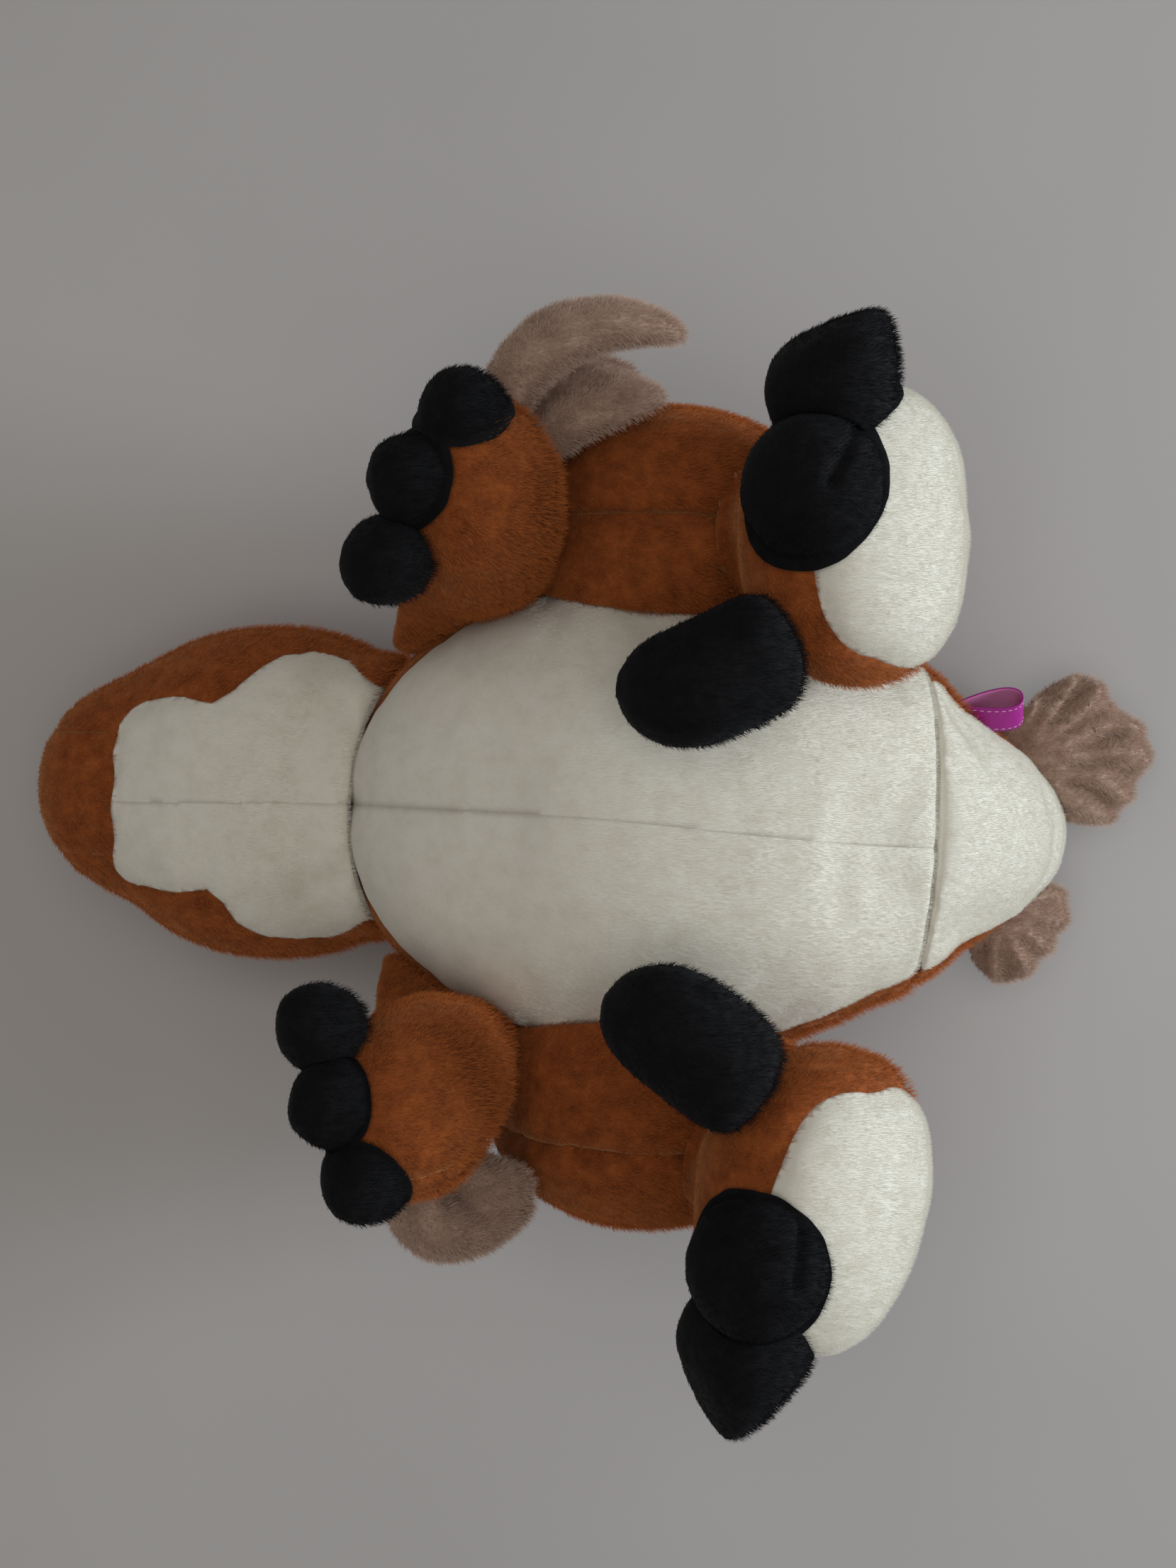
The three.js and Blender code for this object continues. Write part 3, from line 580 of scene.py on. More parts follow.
class Skin:
    """A stuffed skin: panels on sides of its seam fields, and what presses, limits and shapes it.

    A seam is its field, the sides of other fields that it runs on, and how tight it is sewn.
    """

    def __init__(self, obj, fields, panels, seams, against=(), limit=None, shape=None, bare=4):
        self.obj, self.fields, self.panels, self.bare = obj, fields, panels, bare
        self.seams, self.against, self.limit, self.shape = seams, list(against), limit, shape

    def fit(self, points):
        moved = press(points, self.against)
        return self.limit(moved) if self.limit else moved

    def at_seams(self, points):
        """Each point's distance from its nearest seam, and how tight that seam is there."""
        values = [field(points) for field in self.fields]
        best = np.full(len(points), 1e9)
        tight = np.zeros(len(points))
        for index, needed, tightness in self.seams:
            ok = np.ones(len(points), bool)
            for other, sign in needed.items():
                ok &= values[other] * sign > -SEAM_OVERRUN
            near = np.where(ok, np.abs(values[index]), 1e9)
            tight = np.where(near < best, tightness(points), tight)
            best = np.minimum(best, near)
        return best, tight


def sewn(tightness):
    """A seam that is equally tight all along."""
    return lambda points: np.full(len(points), tightness)


def belly_sewn(points):
    """The belly's middle seam sinks in at both ends and is lost in the pile between them."""
    x = points[:, 0]
    return 0.05 + 0.65 * (smoothstep(-25, -70, x) + smoothstep(45, 85, x))


skins = []


def add_skin(name, forms, fields, panels, seams, rounds=SMOOTH_ROUNDS, **fitting):
    grids = [grid if isinstance(grid, tuple) else grid.grid(-SWELL) for grid in forms]
    skins.append(Skin(union(name, grids, SKIN_VOXEL, rounds), fields, panels, seams, **fitting))


def on_floor(points):
    points = points.copy()
    points[:, 2] = np.maximum(points[:, 2], FLOOR_GAP)
    return points


def body_limit(points):
    points = on_floor(points)
    points[:, 0] = np.minimum(points[:, 0], TAIL_SEAM_X - PRESS_GAP)
    return points


def tail_limit(points):
    points = on_floor(points)
    points[:, 0] = np.maximum(points[:, 0], TAIL_SEAM_X + PRESS_GAP)
    return points


RIM_SWELL, RIM_SPREAD = 6.5, 14


def flare_rim(points):
    """The cloth of body and tail stays full where the two are sewn together."""
    out = unit_rows((points - BODY.at) * (0, 1, 1))
    return points + out * (RIM_SWELL * bell(points[:, 0] - TAIL_SEAM_X, RIM_SPREAD))[:, None]


add_skin("torso_skin", [BODY], [belly_field, belly_middle],
         {"belly_panel_left": (1, 1), "belly_panel_right": (1, -1), "back_panel": (-1, 0)},
         [(0, {}, sewn(0.8)), (1, {0: 1}, belly_sewn)], limit=body_limit, shape=flare_rim)

HEAD_SHIFT = np.array([0.0, 3.5, 0.0])
NECK_SWELL, NECK_SPREAD = 9, 13


def set_head(points):
    """The head sits a little to its left, and its cloth spreads where it is sewn to the body."""
    out = unit_rows((points - HEAD.at) * (0.25, 1, 1))
    return points + HEAD_SHIFT + out * (NECK_SWELL * bell(BODY.depth(points), NECK_SPREAD))[:, None]


add_skin("head_skin", [HEAD], [chin_field, chin_middle, gusset_field],
         {"chin_panel_left": (1, 1, 0), "chin_panel_right": (1, -1, 0), "head_gusset": (-1, 0, -1),
          "head_side_left": (-1, 1, 1), "head_side_right": (-1, -1, 1)},
         [(0, {}, sewn(0.6)), (1, {0: 1}, sewn(0.5)), (2, {0: -1}, sewn(0.4))],
         against=[BODY], limit=on_floor, shape=set_head)

RING_STEPS = 30
COLLAR_SHARE, COLLAR_REACH = 0.8, np.array([-10.0, 0.0, 0.0])


def tail_grid(grow, rings=36, around=56):
    """The tail from the ring that it shares with the body to its tip, with a collar inside the body."""
    angle = np.arange(around) * 2 * pi / around
    first = halve(np.full(around, -1.0), np.ones(around), RING_STEPS,
                  lambda middle: TAIL.spots(middle, angle)[:, 0] < TAIL_SEAM_X)
    shared = BODY.spots(np.full(around, TAIL_SEAM_X / BODY.front), angle, grow)
    shared[:, 0] = TAIL_SEAM_X
    rows = []
    for share in np.linspace(0, 1, rings + 1)[:-1]:
        spots = TAIL.spots(first + (1 - first) * sin(share * pi / 2), angle, grow)
        if not rows:
            shift = shared - spots
        rows.append(spots + shift * (1 - smoothstep(0, 0.5, share)))
    centre = shared.mean(0)
    collar = centre + COLLAR_SHARE * (shared - centre) + COLLAR_REACH
    poles = np.vstack([centre + COLLAR_REACH, TAIL.spots(1.0, 0.0, grow)])
    return tube(np.vstack([collar] + rows), rings + 1, around, poles)


TAIL_RISE_LEFT, TAIL_RISE_RIGHT, TAIL_FALL = 31, 37, 16


def tail_field(points):
    """The tail's side seams come down from the body's towards the tip."""
    x, y, z = TAIL.local(points).T
    rise = np.radians(np.where(y < 0, TAIL_RISE_RIGHT, TAIL_RISE_LEFT) - TAIL_FALL * smoothstep(30, 115, x))
    return z * np.cos(rise) - np.abs(y) * np.sin(rise)


add_skin("tail_skin", [tail_grid(-SWELL)], [tail_field],
         {"tail_underside_panel": (1,), "tail_top_panel": (-1,)},
         [(0, {}, sewn(0.8))], limit=tail_limit, shape=flare_rim)

for name in SIDES:
    leg, arm = LEGS[name], ARMS[name]
    add_skin(f"thigh_skin_{name}", [leg.thigh], [leg.thigh_field],
             {f"thigh_outer_panel_{name}": (1,), f"thigh_inner_panel_{name}": (-1,)},
             [(0, {}, sewn(3.2))], against=[BODY], bare=60)
    add_skin(f"foot_skin_{name}", [leg.paw, leg.ankle], [leg.sole_field],
             {f"foot_sole_{name}": (1,), f"foot_upper_{name}": (-1,)}, [(0, {}, sewn(0.8))], rounds=6,
             against=[leg.thigh, BODY], limit=leg.foot_room, shape=leg.heel, bare=60)
    add_skin(f"arm_skin_{name}", [arm.arm], [arm.seam_field],
             {f"arm_outer_panel_{name}": (1,), f"arm_inner_panel_{name}": (-1,)},
             [(0, {}, sewn(1.0))], against=[BODY, leg.thigh], shape=arm.fin)


# Filling: the sewn skins swell under pressure while their seams are held
def start_cloth(obj):
    modifier = obj.modifiers.new("cloth", "CLOTH")
    put(modifier.settings, quality=5, mass=0.3, tension_stiffness=12, compression_stiffness=12,
        shear_stiffness=6, bending_stiffness=0.6, use_pressure=True, uniform_pressure_force=4,
        shrink_min=-0.03, vertex_group_mass="held")
    modifier.settings.effector_weights.gravity = 0
    modifier.collision_settings.use_collision = False
    modifier.point_cache.frame_end = FILL_FRAMES


starts = {}
for skin in skins:
    points = points_of(skin.obj)
    if skin.shape:
        points = skin.shape(points)
    fitted = skin.fit(points)
    pressed = lengths(fitted - points) > PRESSED
    set_points(skin.obj, fitted)
    near, tight = skin.at_seams(points)
    held = (near < HELD_REACH) & (tight > HELD_TIGHT)
    weigh(skin.obj, "held", np.where(pressed | held, 1.0, 0.0))
    starts[skin.obj.name] = fitted
    start_cloth(skin.obj)
for number in range(1, FILL_FRAMES + 1):
    scene.frame_set(number)
for skin in skins:
    begin = starts[skin.obj.name]
    apply_modifiers(skin.obj)
    grown = points_of(skin.obj)
    move = grown - begin
    length = np.linalg.norm(move, axis=1, keepdims=True)
    move *= np.minimum(1, SWELL_CAP / np.maximum(length, 1e-9))
    set_points(skin.obj, begin + move)
    smooth(skin.obj, SMOOTH_ROUNDS)
scene.frame_set(1)


# Panels are cut along their seams, then come grooves, puckers and the lumps of the filling
def split_along(mesh, field):
    """Cuts the faces of a bmesh where the field changes sign."""
    mesh.verts.ensure_lookup_table()
    values = field(np.array([v.co for v in mesh.verts]) / MM)
    value = {v: (0.0 if abs(f) < SEAM_SNAP else f) for v, f in zip(mesh.verts, values)}
    for edge in [e for e in mesh.edges if value[e.verts[0]] * value[e.verts[1]] < 0]:
        start, end = edge.verts
        share = value[start] / (value[start] - value[end])
        _, vert = bmesh.utils.edge_split(edge, start, share)
        value[vert] = 0.0
    for face in list(mesh.faces):
        zeros = [v for v in face.verts if value[v] == 0.0]
        if len(zeros) == 2:
            start, end = zeros
            if not any(e.other_vert(start) is end for e in start.link_edges):
                bmesh.utils.face_split(face, start, end)


def panel_faces(skin):
    """Splits the skin along its seams and returns which faces belong to each panel."""
    cloth = bmesh.new()
    cloth.from_mesh(skin.obj.data)
    for field in skin.fields:
        split_along(cloth, field)
    centres = np.array([f.calc_center_median() for f in cloth.faces]) / MM
    cloth.to_mesh(skin.obj.data)
    cloth.free()
    values = [field(centres) for field in skin.fields]
    kept = {}
    for name, signs in skin.panels.items():
        kept[name] = np.ones(len(centres), bool)
        for value, sign in zip(values, signs):
            if sign:
                kept[name] &= value * sign > 0
    return kept


def sew(skin, seed):
    """Grooves and puckers along the seams, lumps between them, and where the pile grows."""
    obj = skin.obj
    points = points_of(obj)
    near, tight = skin.at_seams(points)
    groove = tight * SEAM_DEPTH * bell(near, SEAM_SPREAD)
    groove *= 1 + SEAM_UNEVEN * lumps(points, SEAM_UNEVEN_SIZE, seed)
    pucker = PUCKER * np.minimum(tight, 2) * np.exp(-near / PUCKER_REACH)
    pucker *= lumps(points, PUCKER_SIZE, seed + 1)
    stuffing = lumpy(points, STUFFING_LUMPS, seed + 2)
    points = points + normals_of(obj) * (stuffing + pucker - groove)[:, None]
    fitted = skin.fit(points)
    set_points(obj, fitted)
    shown = lengths(fitted - points) < skin.bare
    seam = SEAM_BARE * np.minimum(tight, 1) * bell(near, SEAM_BARE_REACH + tight)
    obj.vertex_groups.clear()
    weigh(obj, "pile", np.where(shown, 1 - seam, 0))


def take_panels(skin, kept):
    """The skin's sewn panels, each an object of its own."""
    made = {}
    for name, keep in kept.items():
        panel = bmesh.new()
        panel.from_mesh(skin.obj.data)
        bmesh.ops.delete(panel, geom=[f for f, k in zip(panel.faces, keep) if not k], context="FACES")
        mesh = bpy.data.meshes.new(f"{name}_sewn")
        panel.to_mesh(mesh)
        panel.free()
        made[name] = add_object(f"{name}_sewn", mesh)
        made[name].vertex_groups.new(name="pile")
    bpy.data.objects.remove(skin.obj)
    return made


panels = {}
for number, skin in enumerate(skins):
    modify(skin.obj, "SUBSURF", levels=1)
    kept = panel_faces(skin)
    sew(skin, 10 * number + 1)
    panels.update(take_panels(skin, kept))


# Materials
def nodes_of(name):
    material = bpy.data.materials.new(name)
    material.use_nodes = True
    tree = material.node_tree
    shader = tree.nodes["Principled BSDF"]
    place = tree.nodes.new("ShaderNodeTexCoord")
    return material, tree, shader, place.outputs["Object"]


def set_inputs(node, values):
    for name, value in values.items():
        node.inputs[name].default_value = value


def noise_node(tree, place, scale, detail=2.0, roughness=0.5, stretch=None):
    node = tree.nodes.new("ShaderNodeTexNoise")
    set_inputs(node, {"Scale": scale, "Detail": detail, "Roughness": roughness})
    if stretch:
        mapping = tree.nodes.new("ShaderNodeMapping")
        mapping.inputs["Scale"].default_value = stretch
        tree.links.new(place, mapping.inputs["Vector"])
        place = mapping.outputs["Vector"]
    tree.links.new(place, node.inputs["Vector"])
    return node.outputs["Fac"]


def ramp(tree, value, stops):
    node = tree.nodes.new("ShaderNodeValToRGB")
    while len(node.color_ramp.elements) < len(stops):
        node.color_ramp.elements.new(0.5)
    for element, (place, color) in zip(node.color_ramp.elements, stops):
        element.position = place
        element.color = (*color, 1)
    tree.links.new(value, node.inputs["Fac"])
    return node.outputs["Color"]


def mix(tree, share, first, second, blend="MIX"):
    """Two colours mixed; each value is a socket, a number or a plain colour."""
    node = tree.nodes.new("ShaderNodeMix")
    put(node, data_type="RGBA", blend_type=blend)
    for index, value in ((0, share), (6, first), (7, second)):
        if isinstance(value, bpy.types.NodeSocket):
            tree.links.new(value, node.inputs[index])
        else:
            node.inputs[index].default_value = value
    return node.outputs[2]


def add_bump(tree, shader, height, strength, distance):
    bump = tree.nodes.new("ShaderNodeBump")
    set_inputs(bump, {"Strength": strength, "Distance": distance})
    tree.links.new(height, bump.inputs["Height"])
    tree.links.new(bump.outputs["Normal"], shader.inputs["Normal"])


def mottled(name, grain, stops, looks, bump=None):
    """A material whose colour wanders between two tones, with or without relief."""
    material, tree, shader, place = nodes_of(name)
    cloud = noise_node(tree, place, *grain)
    tree.links.new(ramp(tree, cloud, stops), shader.inputs["Base Color"])
    set_inputs(shader, looks)
    if bump:
        add_bump(tree, shader, cloud, *bump)
    return material


def plush(name, dark, middle, light, tip, sheen, sheen_color, relief, roughness, gap_shade):
    """Short pile: mottled nap over fine fibres with painted shade in their gaps, hairs that go from painted
    shade at the root to painted light at the tip, and a soft sheen.
    """
    material, tree, shader, place = nodes_of(name)
    nap = noise_node(tree, place, 120, 4, 0.65)
    fibre = noise_node(tree, place, 620, 3, 0.7, (1.0, 2.2, 1.6))
    tone = ramp(tree, nap, [(0.3, dark), (0.5, middle), (0.72, light)])
    # The gaps between fibres are darkened: painted shade between the fibres
    thread = ramp(tree, fibre, [(0.25, (gap_shade, gap_shade, gap_shade)), (0.7, (1.0, 1.0, 1.0))])
    # Each hair lightens from its root to its tip: painted shade deep in the pile and painted light on the
    # hairs' tips
    strand = tree.nodes.new("ShaderNodeHairInfo").outputs["Intercept"]
    tips = ramp(tree, strand, [(0.0, (0.0, 0.0, 0.0)), (1.0, (1.0, 1.0, 1.0))])
    fibres = mix(tree, 1.0, tone, thread, "MULTIPLY")
    tree.links.new(mix(tree, tips, fibres, (*tip, 1)), shader.inputs["Base Color"])
    set_inputs(shader, {"Roughness": roughness, "Specular IOR Level": 0.2, "Sheen Weight": sheen,
                        "Sheen Roughness": 0.45, "Sheen Tint": (*sheen_color, 1)})
    add_bump(tree, shader, fibre, 0.35, relief)
    return material


# Three tones of the nap, the tone of the hairs' tips (painted light on the tips over painted shade at the
# roots), sheen and its colour, relief, roughness, and the tone of the painted shade in the gaps between
# fibres
PLUSHES = {
    "rust_plush": ((0.19, 0.042, 0.008), (0.30, 0.073, 0.015), (0.43, 0.115, 0.024), (0.66, 0.200, 0.048),
                   0.5, (1.0, 0.5, 0.22), 0.0006, 0.9, 0.7),
    "white_plush": ((0.78, 0.745, 0.65), (0.83, 0.80, 0.71), (0.86, 0.84, 0.76), (0.88, 0.865, 0.80),
                    0.1, (1.0, 1.0, 1.0), 0.0003, 0.75, 0.93),
    "black_plush": ((0.002, 0.002, 0.003), (0.004, 0.004, 0.005), (0.007, 0.007, 0.009),
                    (0.008, 0.008, 0.010), 0.03, (0.55, 0.62, 0.8), 0.0006, 0.9, 0.7),
    "brown_long_pile": ((0.33, 0.21, 0.155), (0.46, 0.31, 0.24), (0.58, 0.415, 0.33), (0.74, 0.56, 0.46),
                        0.3, (1.0, 0.85, 0.75), 0.001, 0.9, 0.85),
}
SLOT_MATERIALS = {slot: plush(slot, *looks) for slot, looks in PLUSHES.items()}
WHITE_PANELS = ("belly", "chin", "tail_under", "foot_sole")


def finish_piece(obj, slot):
    obj.data.materials.clear()
    obj.data.materials.append(SLOT_MATERIALS[slot])
    shade_smooth(obj)


def thicken(obj, thickness, offset, inside=0):
    put(obj.modifiers.new("thickness", "SOLIDIFY"),
        thickness=thickness * MM, offset=offset, material_offset=inside)


# Pile of short hairs that lies towards the tail
HAIR_TIME = 4.0  # a hair is as long as it would grow in this time at its speed
HAIR_TIP = 0.35  # share of the root's thickness
HAIR_UNEVEN = 0.35

# Hairs to a square millimetre, their length and thickness, and how they stand, lie and stray
Pile = namedtuple("Pile", "density length thick stand lie stray")


def grow_pile(obj, pile, seed):
    speed = pile.length * MM / HAIR_TIME
    area = sum(p.area for p in obj.data.polygons) / MM ** 2
    system = obj.modifiers.new("pile", "PARTICLE_SYSTEM").particle_system
    system.seed = seed
    put(system.settings, type="HAIR", count=int(area * pile.density), hair_step=3, render_step=2,
        emit_from="FACE", use_even_distribution=True, normal_factor=pile.stand * speed,
        object_align_factor=(pile.lie * speed, 0.0, 0.0), factor_random=pile.stray * speed,
        length_random=HAIR_UNEVEN, root_radius=pile.thick, tip_radius=pile.thick * HAIR_TIP,
        radius_scale=MM, child_type="NONE")
    system.vertex_group_density = "pile"


# Panels that also stand for the stuffing inside them
STUFFING = {"back_panel": "torso_stuffing", "head_gusset": "head_stuffing",
            "tail_top_panel": "tail_stuffing"}
for name in SIDES:
    for panel, limb in (("thigh_outer_panel", "thigh"), ("foot_upper", "foot"), ("arm_outer_panel", "arm")):
        STUFFING[f"{panel}_{name}"] = f"{limb}_stuffing_{name}"
PILES = {
    "white_plush": Pile(2.4, 1.8, 0.10, 0.22, 1.0, 0.12),
    "rust_plush": Pile(0.9, 3.0, 0.18, 0.7, 0.8, 0.6),
    "black_plush": Pile(0.7, 2.2, 0.18, 0.6, 0.8, 0.5),
    "brown_long_pile": Pile(1.6, 3.2, 0.18, 0.7, 0.5, 0.55),
}


# Spots, or reaches from a root along its limb, between two bodies of a piece; each piece's transform is
# baked into its mesh
NECK_BEND = ((-92, 0, 85), (-150, 0, 85))
TAIL_BEND = ((113, 0, 85), (150, 0, 85))
HIP_BEND = ((3, 70, 106), (3, 125, 106))
ANKLE_BEND = (-4, 34)
SHOULDER_BEND = (12, 62)
SICKLE_BEND, WING_BEND, FAN_BEND, RIBBON_BEND = 30, 30, 25, 8


def blend_piece(obj, body_a, body_b, start, end):
    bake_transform(obj)


def join_limb(obj, name):
    """Bakes the transform of a panel of a leg or arm into its mesh."""
    side_name = name.rsplit("_", 1)[1]
    leg, arm = LEGS[side_name], ARMS[side_name]
    if name.startswith("thigh"):
        start, end = (mirrored(leg.side, spot) for spot in HIP_BEND)
        blend_piece(obj, "torso", f"leg_{side_name}", start, end)
    elif name.startswith("foot"):
        start, end = (leg.ankle_at + reach * leg.to_paw for reach in ANKLE_BEND)
        blend_piece(obj, f"leg_{side_name}", f"foot_{side_name}", start, end)
    else:
        start, end = (arm.shoulder + reach * arm.along for reach in SHOULDER_BEND)
        blend_piece(obj, "torso", f"arm_{side_name}", start, end)


for number, (name, obj) in enumerate(panels.items()):
    slot = "white_plush" if name.startswith(WHITE_PANELS) else "rust_plush"
    finish_piece(obj, slot)
    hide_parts(name)
    if name in STUFFING:
        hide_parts(STUFFING[name])
    grow_pile(obj, PILES[slot], number + 1)
    thicken(obj, CLOTH, -1)
    if name.startswith(("belly", "back")):
        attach(obj, "torso")
    elif name.startswith(("chin", "head")):
        blend_piece(obj, "torso", "head", *NECK_BEND)
    elif name.startswith("tail"):
        blend_piece(obj, "torso", "tail", *TAIL_BEND)
    else:
        join_limb(obj, name)


# Claws: stuffed black plush, pressed on what they are sewn to
def facets(form, points, share):
    """Three soft edges along a form, one of them on top."""
    x, y, z = form.local(points).T
    top = form.axes @ (0.0, 0.0, 1.0)
    turn_to = np.arctan2(z, y) - atan2(top[2], top[1])
    scale = 1 + share * np.cos(3 * turn_to) * smoothstep(-25, 5, x)
    return np.stack([x, y * scale, z * scale], 1) @ form.axes + form.at


DART_DEPTH, DART_WIDTH = 3.2, 2.4
CLAW_BARE, FEATHER_BARE = 1.0, 6.0  # no pile where a piece is pressed by more than this


def dress(obj, node, points, fitted, bare, slot, seed):
    """Gives a pressed piece its last points, its material and its pile."""
    set_points(obj, fitted)
    weigh(obj, "pile", np.where(lengths(fitted - points) < bare, 1.0, 0.0))
    finish_piece(obj, slot)
    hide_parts(node)
    grow_pile(obj, PILES[slot], seed)
    return obj


def claw(node, form, against, body, seed, crease=None, edges=0.0):
    obj = union(f"{node}_sewn", [form.grid(0.0, 24, 32)], CLAW_VOXEL, rounds=1)
    modify(obj, "SUBSURF", levels=1)
    points = facets(form, points_of(obj), edges)
    set_points(obj, points)
    normals = normals_of(obj)
    swell = lumpy(points, CLAW_LUMPS, seed)
    if crease:
        swell -= DART_DEPTH * bell(crease(points), DART_WIDTH)
    points = points + normals * swell[:, None]
    dress(obj, node, points, press(points, against), CLAW_BARE, "black_plush", seed)
    if body:
        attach(obj, body)
    return obj


for name, side in SIDES.items():
    leg, arm = LEGS[name], ARMS[name]
    for number, claw_name in enumerate(("middle", "inner", "outer")):
        against = [arm.arm] if claw_name == "middle" else [arm.arm, arm.claws["middle"]]
        claw(f"finger_claw_{claw_name}_{name}", arm.claws[claw_name], against, f"arm_{name}",
             300 + 7 * number + side, edges=0.04)
    claw(f"toe_claw_middle_{name}", leg.middle, [leg.paw], f"foot_{name}", 340 + side, leg.dart)
    claw(f"toe_claw_outer_{name}", leg.outer, [leg.paw, leg.middle], f"foot_{name}", 350 + side, edges=0.11)
    sickle = claw(f"sickle_claw_{name}", leg.sickle, [leg.paw, leg.middle], None, 360 + side)
    blend_piece(sickle, f"foot_{name}", f"sickle_{name}", leg.sickle_root,
                leg.sickle_root + SICKLE_BEND * leg.sickle_along)


# Feathers: soft flaps of long pile with a lobe for each quill
PLEAT_LIFT, PLEAT_DROOP = 7, 7
PLEAT_SHIFT, PLEAT_SHIFT_SIZE = 0.14, 26
PLEAT_UNEVEN, PLEAT_UNEVEN_SIZE = 0.6, 16


def pleat(points, root, tips, count):
    """Folds that spread from the root of a fan to its edge."""
    away = (points - root)[:, :2]
    turn_at = np.arctan2(away[:, 1], away[:, 0])
    ends = [atan2(tip[1], tip[0]) for tip in (tips[0], tips[-1])]
    share = (turn_at - min(ends)) / (max(ends) - min(ends))
    share = share + PLEAT_SHIFT * lumps(points, PLEAT_SHIFT_SIZE, 5)
    far = lengths(away)
    wave = np.cos(2 * pi * count * share) + PLEAT_UNEVEN * lumps(points, PLEAT_UNEVEN_SIZE, 6)
    rise = PLEAT_LIFT * smoothstep(8, 34, far) * wave - PLEAT_DROOP * smoothstep(15, 70, far)
    return points + rise[:, None] * (0.0, 0.0, 1.0)


def feather(node, lobes, against, seed, fold=None, limit=on_floor):
    obj = union(f"{node}_sewn", [form.grid(0.0, 20, 28) for form in lobes], FEATHER_VOXEL, rounds=2)
    points = points_of(obj)
    normals = normals_of(obj)
    points = points + normals * lumpy(points, FEATHER_RIPPLES, seed)[:, None]
    if fold:
        set_points(obj, fold(points))
        smooth(obj, SMOOTH_ROUNDS)
        points = points_of(obj)
    fitted = limit(press(points, against))
    return dress(obj, node, points, fitted, FEATHER_BARE, "brown_long_pile", seed)


for name, side in SIDES.items():
    arm, fan_pose = ARMS[name], FAN_POSES[name]
    wing = feather(f"arm_feather_{name}", arm.lobes, [arm.arm, arm.thigh], 400 + side, limit=arm.wing_room)
    reach = unit(arm.wing_tip - arm.wing_root)
    blend_piece(wing, f"arm_{name}", f"wing_{name}", arm.wing_root, arm.wing_root + WING_BEND * reach)
    fan = np.array(fan_pose["fan"], float)
    lobes = [lobe(fan + root, fan + tip, (0, 0, 1), FEATHER_WIDTH * share, FAN_ARCH, FAN_BLUNT)
             for root, tip, share in fan_pose["lobes"]]
    tips = [np.array(tip, float) for _, tip, _ in fan_pose["lobes"]]

    def fold(points, fan=fan, tips=tips, count=fan_pose["pleats"]):
        return pleat(points, fan, tips, count)
    flap = feather(f"tail_feather_{name}", lobes, [TAIL], 420 + side, fold)
    blend_piece(flap, "tail", f"tail_fan_{name}", fan, fan + FAN_BEND * unit(sum(tips)))


# Eyes: black domes with their washers and stems hidden in the head
EYE = mottled("eye_plastic", (400, 2), [(0.3, (0.006, 0.005, 0.005)), (0.7, (0.0084, 0.007, 0.007))],
              {"Roughness": 0.15, "Coat Weight": 0.6, "Coat Roughness": 0.05})
EYE_DROP = radians(34)
EYE_AT, EYE_STEP = 0.3, 0.01  # place along the head, and a small step from it
EYE_RADIUS, EYE_DOME, EYE_BASE = 8.5, 0.62, 1.5
for name, side in SIDES.items():
    angle = pi + EYE_DROP if side > 0 else -EYE_DROP
    at = HEAD.spots(EYE_AT, angle)
    along = HEAD.spots(EYE_AT + EYE_STEP, angle) - at
    across = HEAD.spots(EYE_AT, angle + EYE_STEP) - at
    outward = unit(np.cross(across, along))
    outward = outward if outward @ (at - HEAD.at) > 0 else -outward
    dome = Form(at + HEAD_SHIFT, outward, (0, 0, 1), EYE_DOME * EYE_RADIUS, EYE_BASE,
                EYE_RADIUS, EYE_RADIUS, EYE_RADIUS)
    obj = new_object(f"eye_dome_{name}", *dome.grid(0.0, 24, 40))
    obj.data.materials.append(EYE)
    shade_smooth(obj)
    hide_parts(f"eye_{name}", f"eye_washer_{name}")
    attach(obj, "head")


# Ribbon tag: a woven loop with a stitched edge, left bare
def ribbon_material(name, dark, light):
    return mottled(name, (1500, 2, 0.5, (1.0, 1.0, 2.5)), [(0.3, dark), (0.7, light)],
                   {"Roughness": 0.45, "Specular IOR Level": 0.3}, bump=(0.3, 0.0003))


RIBBON_LOOP, RIBBON_OPENING, RIBBON_WIDTH, RIBBON_THICKNESS = 27.0, 12.0, 15.0, 0.8
RIBBON_ROWS = 9  # points across the ribbon
STITCH_INSET, STITCH_STEP, STITCH_LENGTH, STITCH_THICK = 1.6, 2, 0.62, 0.5
STITCH_RINGS = ((0.0, 0.4), (0.3, 1.0), (0.7, 1.0), (1.0, 0.4))  # place along a stitch, and thickness
STITCH_CORNERS = 6
STITCH_LIFT = 1.02 * RIBBON_THICKNESS / 2
ribbon_root = np.array([133.0, 48.0, 84.0])
loop_x = unit((0.98, 0.15, 0.1))
loop_y = unit(np.cross((0, 0.62, 0.78), loop_x))
loop_z = np.cross(loop_x, loop_y)


def loop_path():
    """Half the loop is one curve from the root to the tip, and the other half mirrors it."""
    half = RIBBON_OPENING / 2
    a, b = np.array([0.0, 0.8]), np.array([7, 0.8 + half * 0.5])
    c, d = np.array([RIBBON_LOOP, half * 1.7]), np.array([RIBBON_LOOP, 0.0])
    t = np.linspace(0, 1, 25)[:, None]
    upper = (1 - t) ** 3 * a + 3 * (1 - t) ** 2 * t * b + 3 * (1 - t) * t * t * c + t ** 3 * d
    return np.vstack([upper, upper[::-1][1:] * (1, -1)])


def on_loop(spot, width):
    return ribbon_root + spot[0] * loop_x + spot[1] * loop_y + width * loop_z


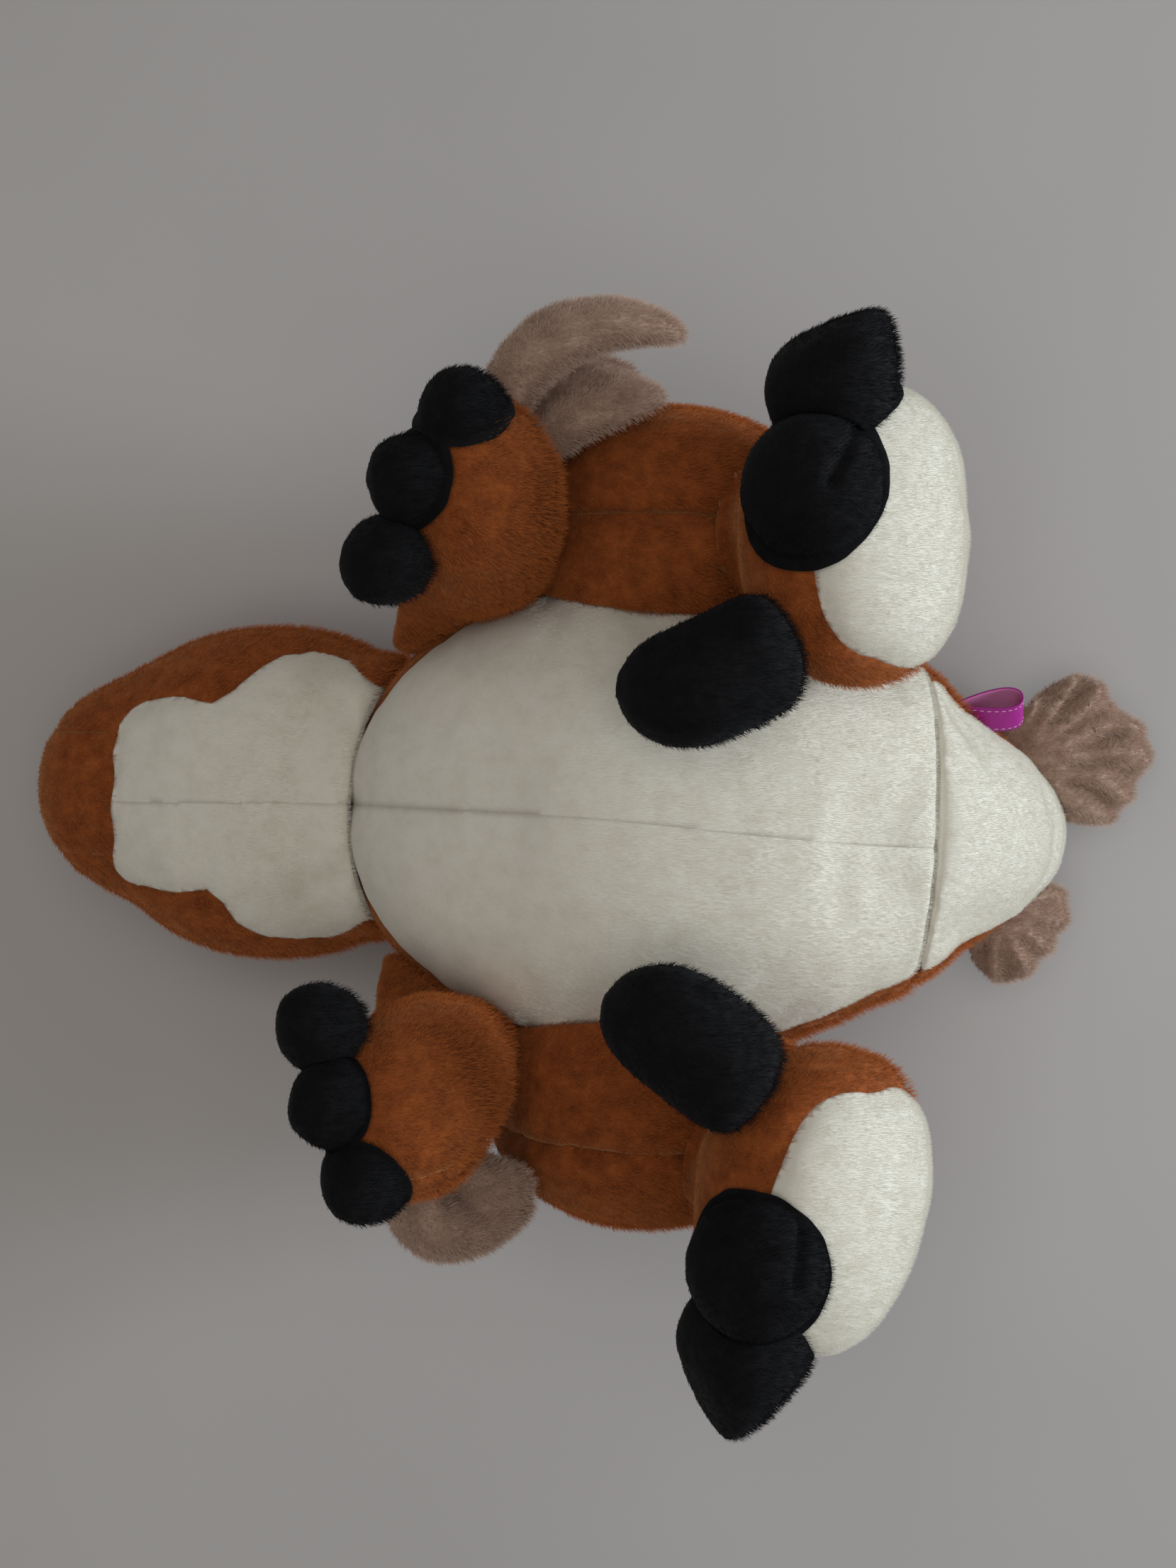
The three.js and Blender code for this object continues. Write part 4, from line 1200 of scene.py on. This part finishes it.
path = loop_path()
rows = np.linspace(-RIBBON_WIDTH / 2, RIBBON_WIDTH / 2, RIBBON_ROWS)
points = np.array([on_loop(p, w) for p in path for w in rows])
faces = grid_faces(0, len(path), RIBBON_ROWS, closed=False)
ribbon = new_object("ribbon_tag_sewn", points, faces)
ribbon.data.materials.append(ribbon_material("purple_ribbon", (0.33, 0.010, 0.23), (0.45, 0.020, 0.33)))
ribbon.data.materials.append(ribbon_material("ribbon_back", (0.52, 0.16, 0.37), (0.62, 0.22, 0.46)))
shade_smooth(ribbon)
thicken(ribbon, RIBBON_THICKNESS, 0, inside=1)
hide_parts("ribbon_tag")


def stitches():
    """Short threads along both edges of the ribbon, on its outer face."""
    points, faces = [], []
    outward = unit_rows(np.array([(d[1], -d[0]) for d in np.gradient(path, axis=0)]))
    outward *= np.sign((outward * (path - path.mean(0))).sum(1))[:, None]
    for edge in (-1, 1):
        width = edge * (RIBBON_WIDTH / 2 - STITCH_INSET)
        for i in range(2, len(path) - 3, STITCH_STEP):
            reach = STITCH_LENGTH * (path[i + 1] - path[i]) * STITCH_STEP
            root = path[i] + outward[i] * STITCH_LIFT
            start = len(points)
            for share, thick in STITCH_RINGS:
                half = 0.5 * STITCH_THICK * thick
                for corner in range(STITCH_CORNERS):
                    angle = corner * 2 * pi / STITCH_CORNERS
                    spot = root + share * reach + outward[i] * half * sin(angle)
                    points.append(on_loop(spot, width + half * cos(angle)))
            faces += grid_faces(start, len(STITCH_RINGS), STITCH_CORNERS)
            faces.append(tuple(reversed(range(start, start + STITCH_CORNERS))))
            faces.append(tuple(range(len(points) - STITCH_CORNERS, len(points))))
    return new_object("ribbon_stitches", points, faces)


thread = stitches()
thread.data.materials.append(ribbon_material("ribbon_thread", (0.60, 0.36, 0.52), (0.70, 0.46, 0.62)))
for piece in (ribbon, thread):
    blend_piece(piece, "tail", "ribbon", ribbon_root, ribbon_root + RIBBON_BEND * loop_x)


# Floor, light and camera
bpy.ops.mesh.primitive_plane_add(size=8, location=(0, 0, -0.0005))
floor = bpy.context.object
floor.name = "floor"
floor.data.materials.append(mottled(
    "pale_floor", (3, 3), [(0.35, (0.50, 0.48, 0.475)), (0.65, (0.53, 0.51, 0.505))],
    {"Roughness": 0.7, "Specular IOR Level": 0.2}))

world = bpy.data.worlds.new("studio")
scene.world = world
world.use_nodes = True
set_inputs(world.node_tree.nodes["Background"], {"Color": (0.81, 0.79, 0.76, 1), "Strength": 0.23})


def area_light(name, at, target, size, power, color):
    light = bpy.data.lights.new(name, "AREA")
    put(light, size=size, energy=power, color=color)
    obj = add_object(name, light)
    obj.location = at
    obj.rotation_euler = (Vector(target) - Vector(at)).to_track_quat("-Z", "Y").to_euler()


area_light("key", (2.1, 0.25, 0.62), (0, 0, 0.08), 0.8, 38, (0.85, 0.935, 1.0))
area_light("top", (-0.1, 0.0, 1.9), (0, 0, 0), 1.4, 9, (1.0, 0.965, 0.90))

camera = bpy.data.cameras.new("camera")
put(camera, lens=43.6, sensor_width=36, clip_start=0.01)
camera_object = add_object("camera", camera)
camera_object.location = (-0.025, 0.0121, 0.9)
camera_object.rotation_euler = (0, 0, radians(2.2))
scene.camera = camera_object
scene.view_settings.view_transform = "Standard"
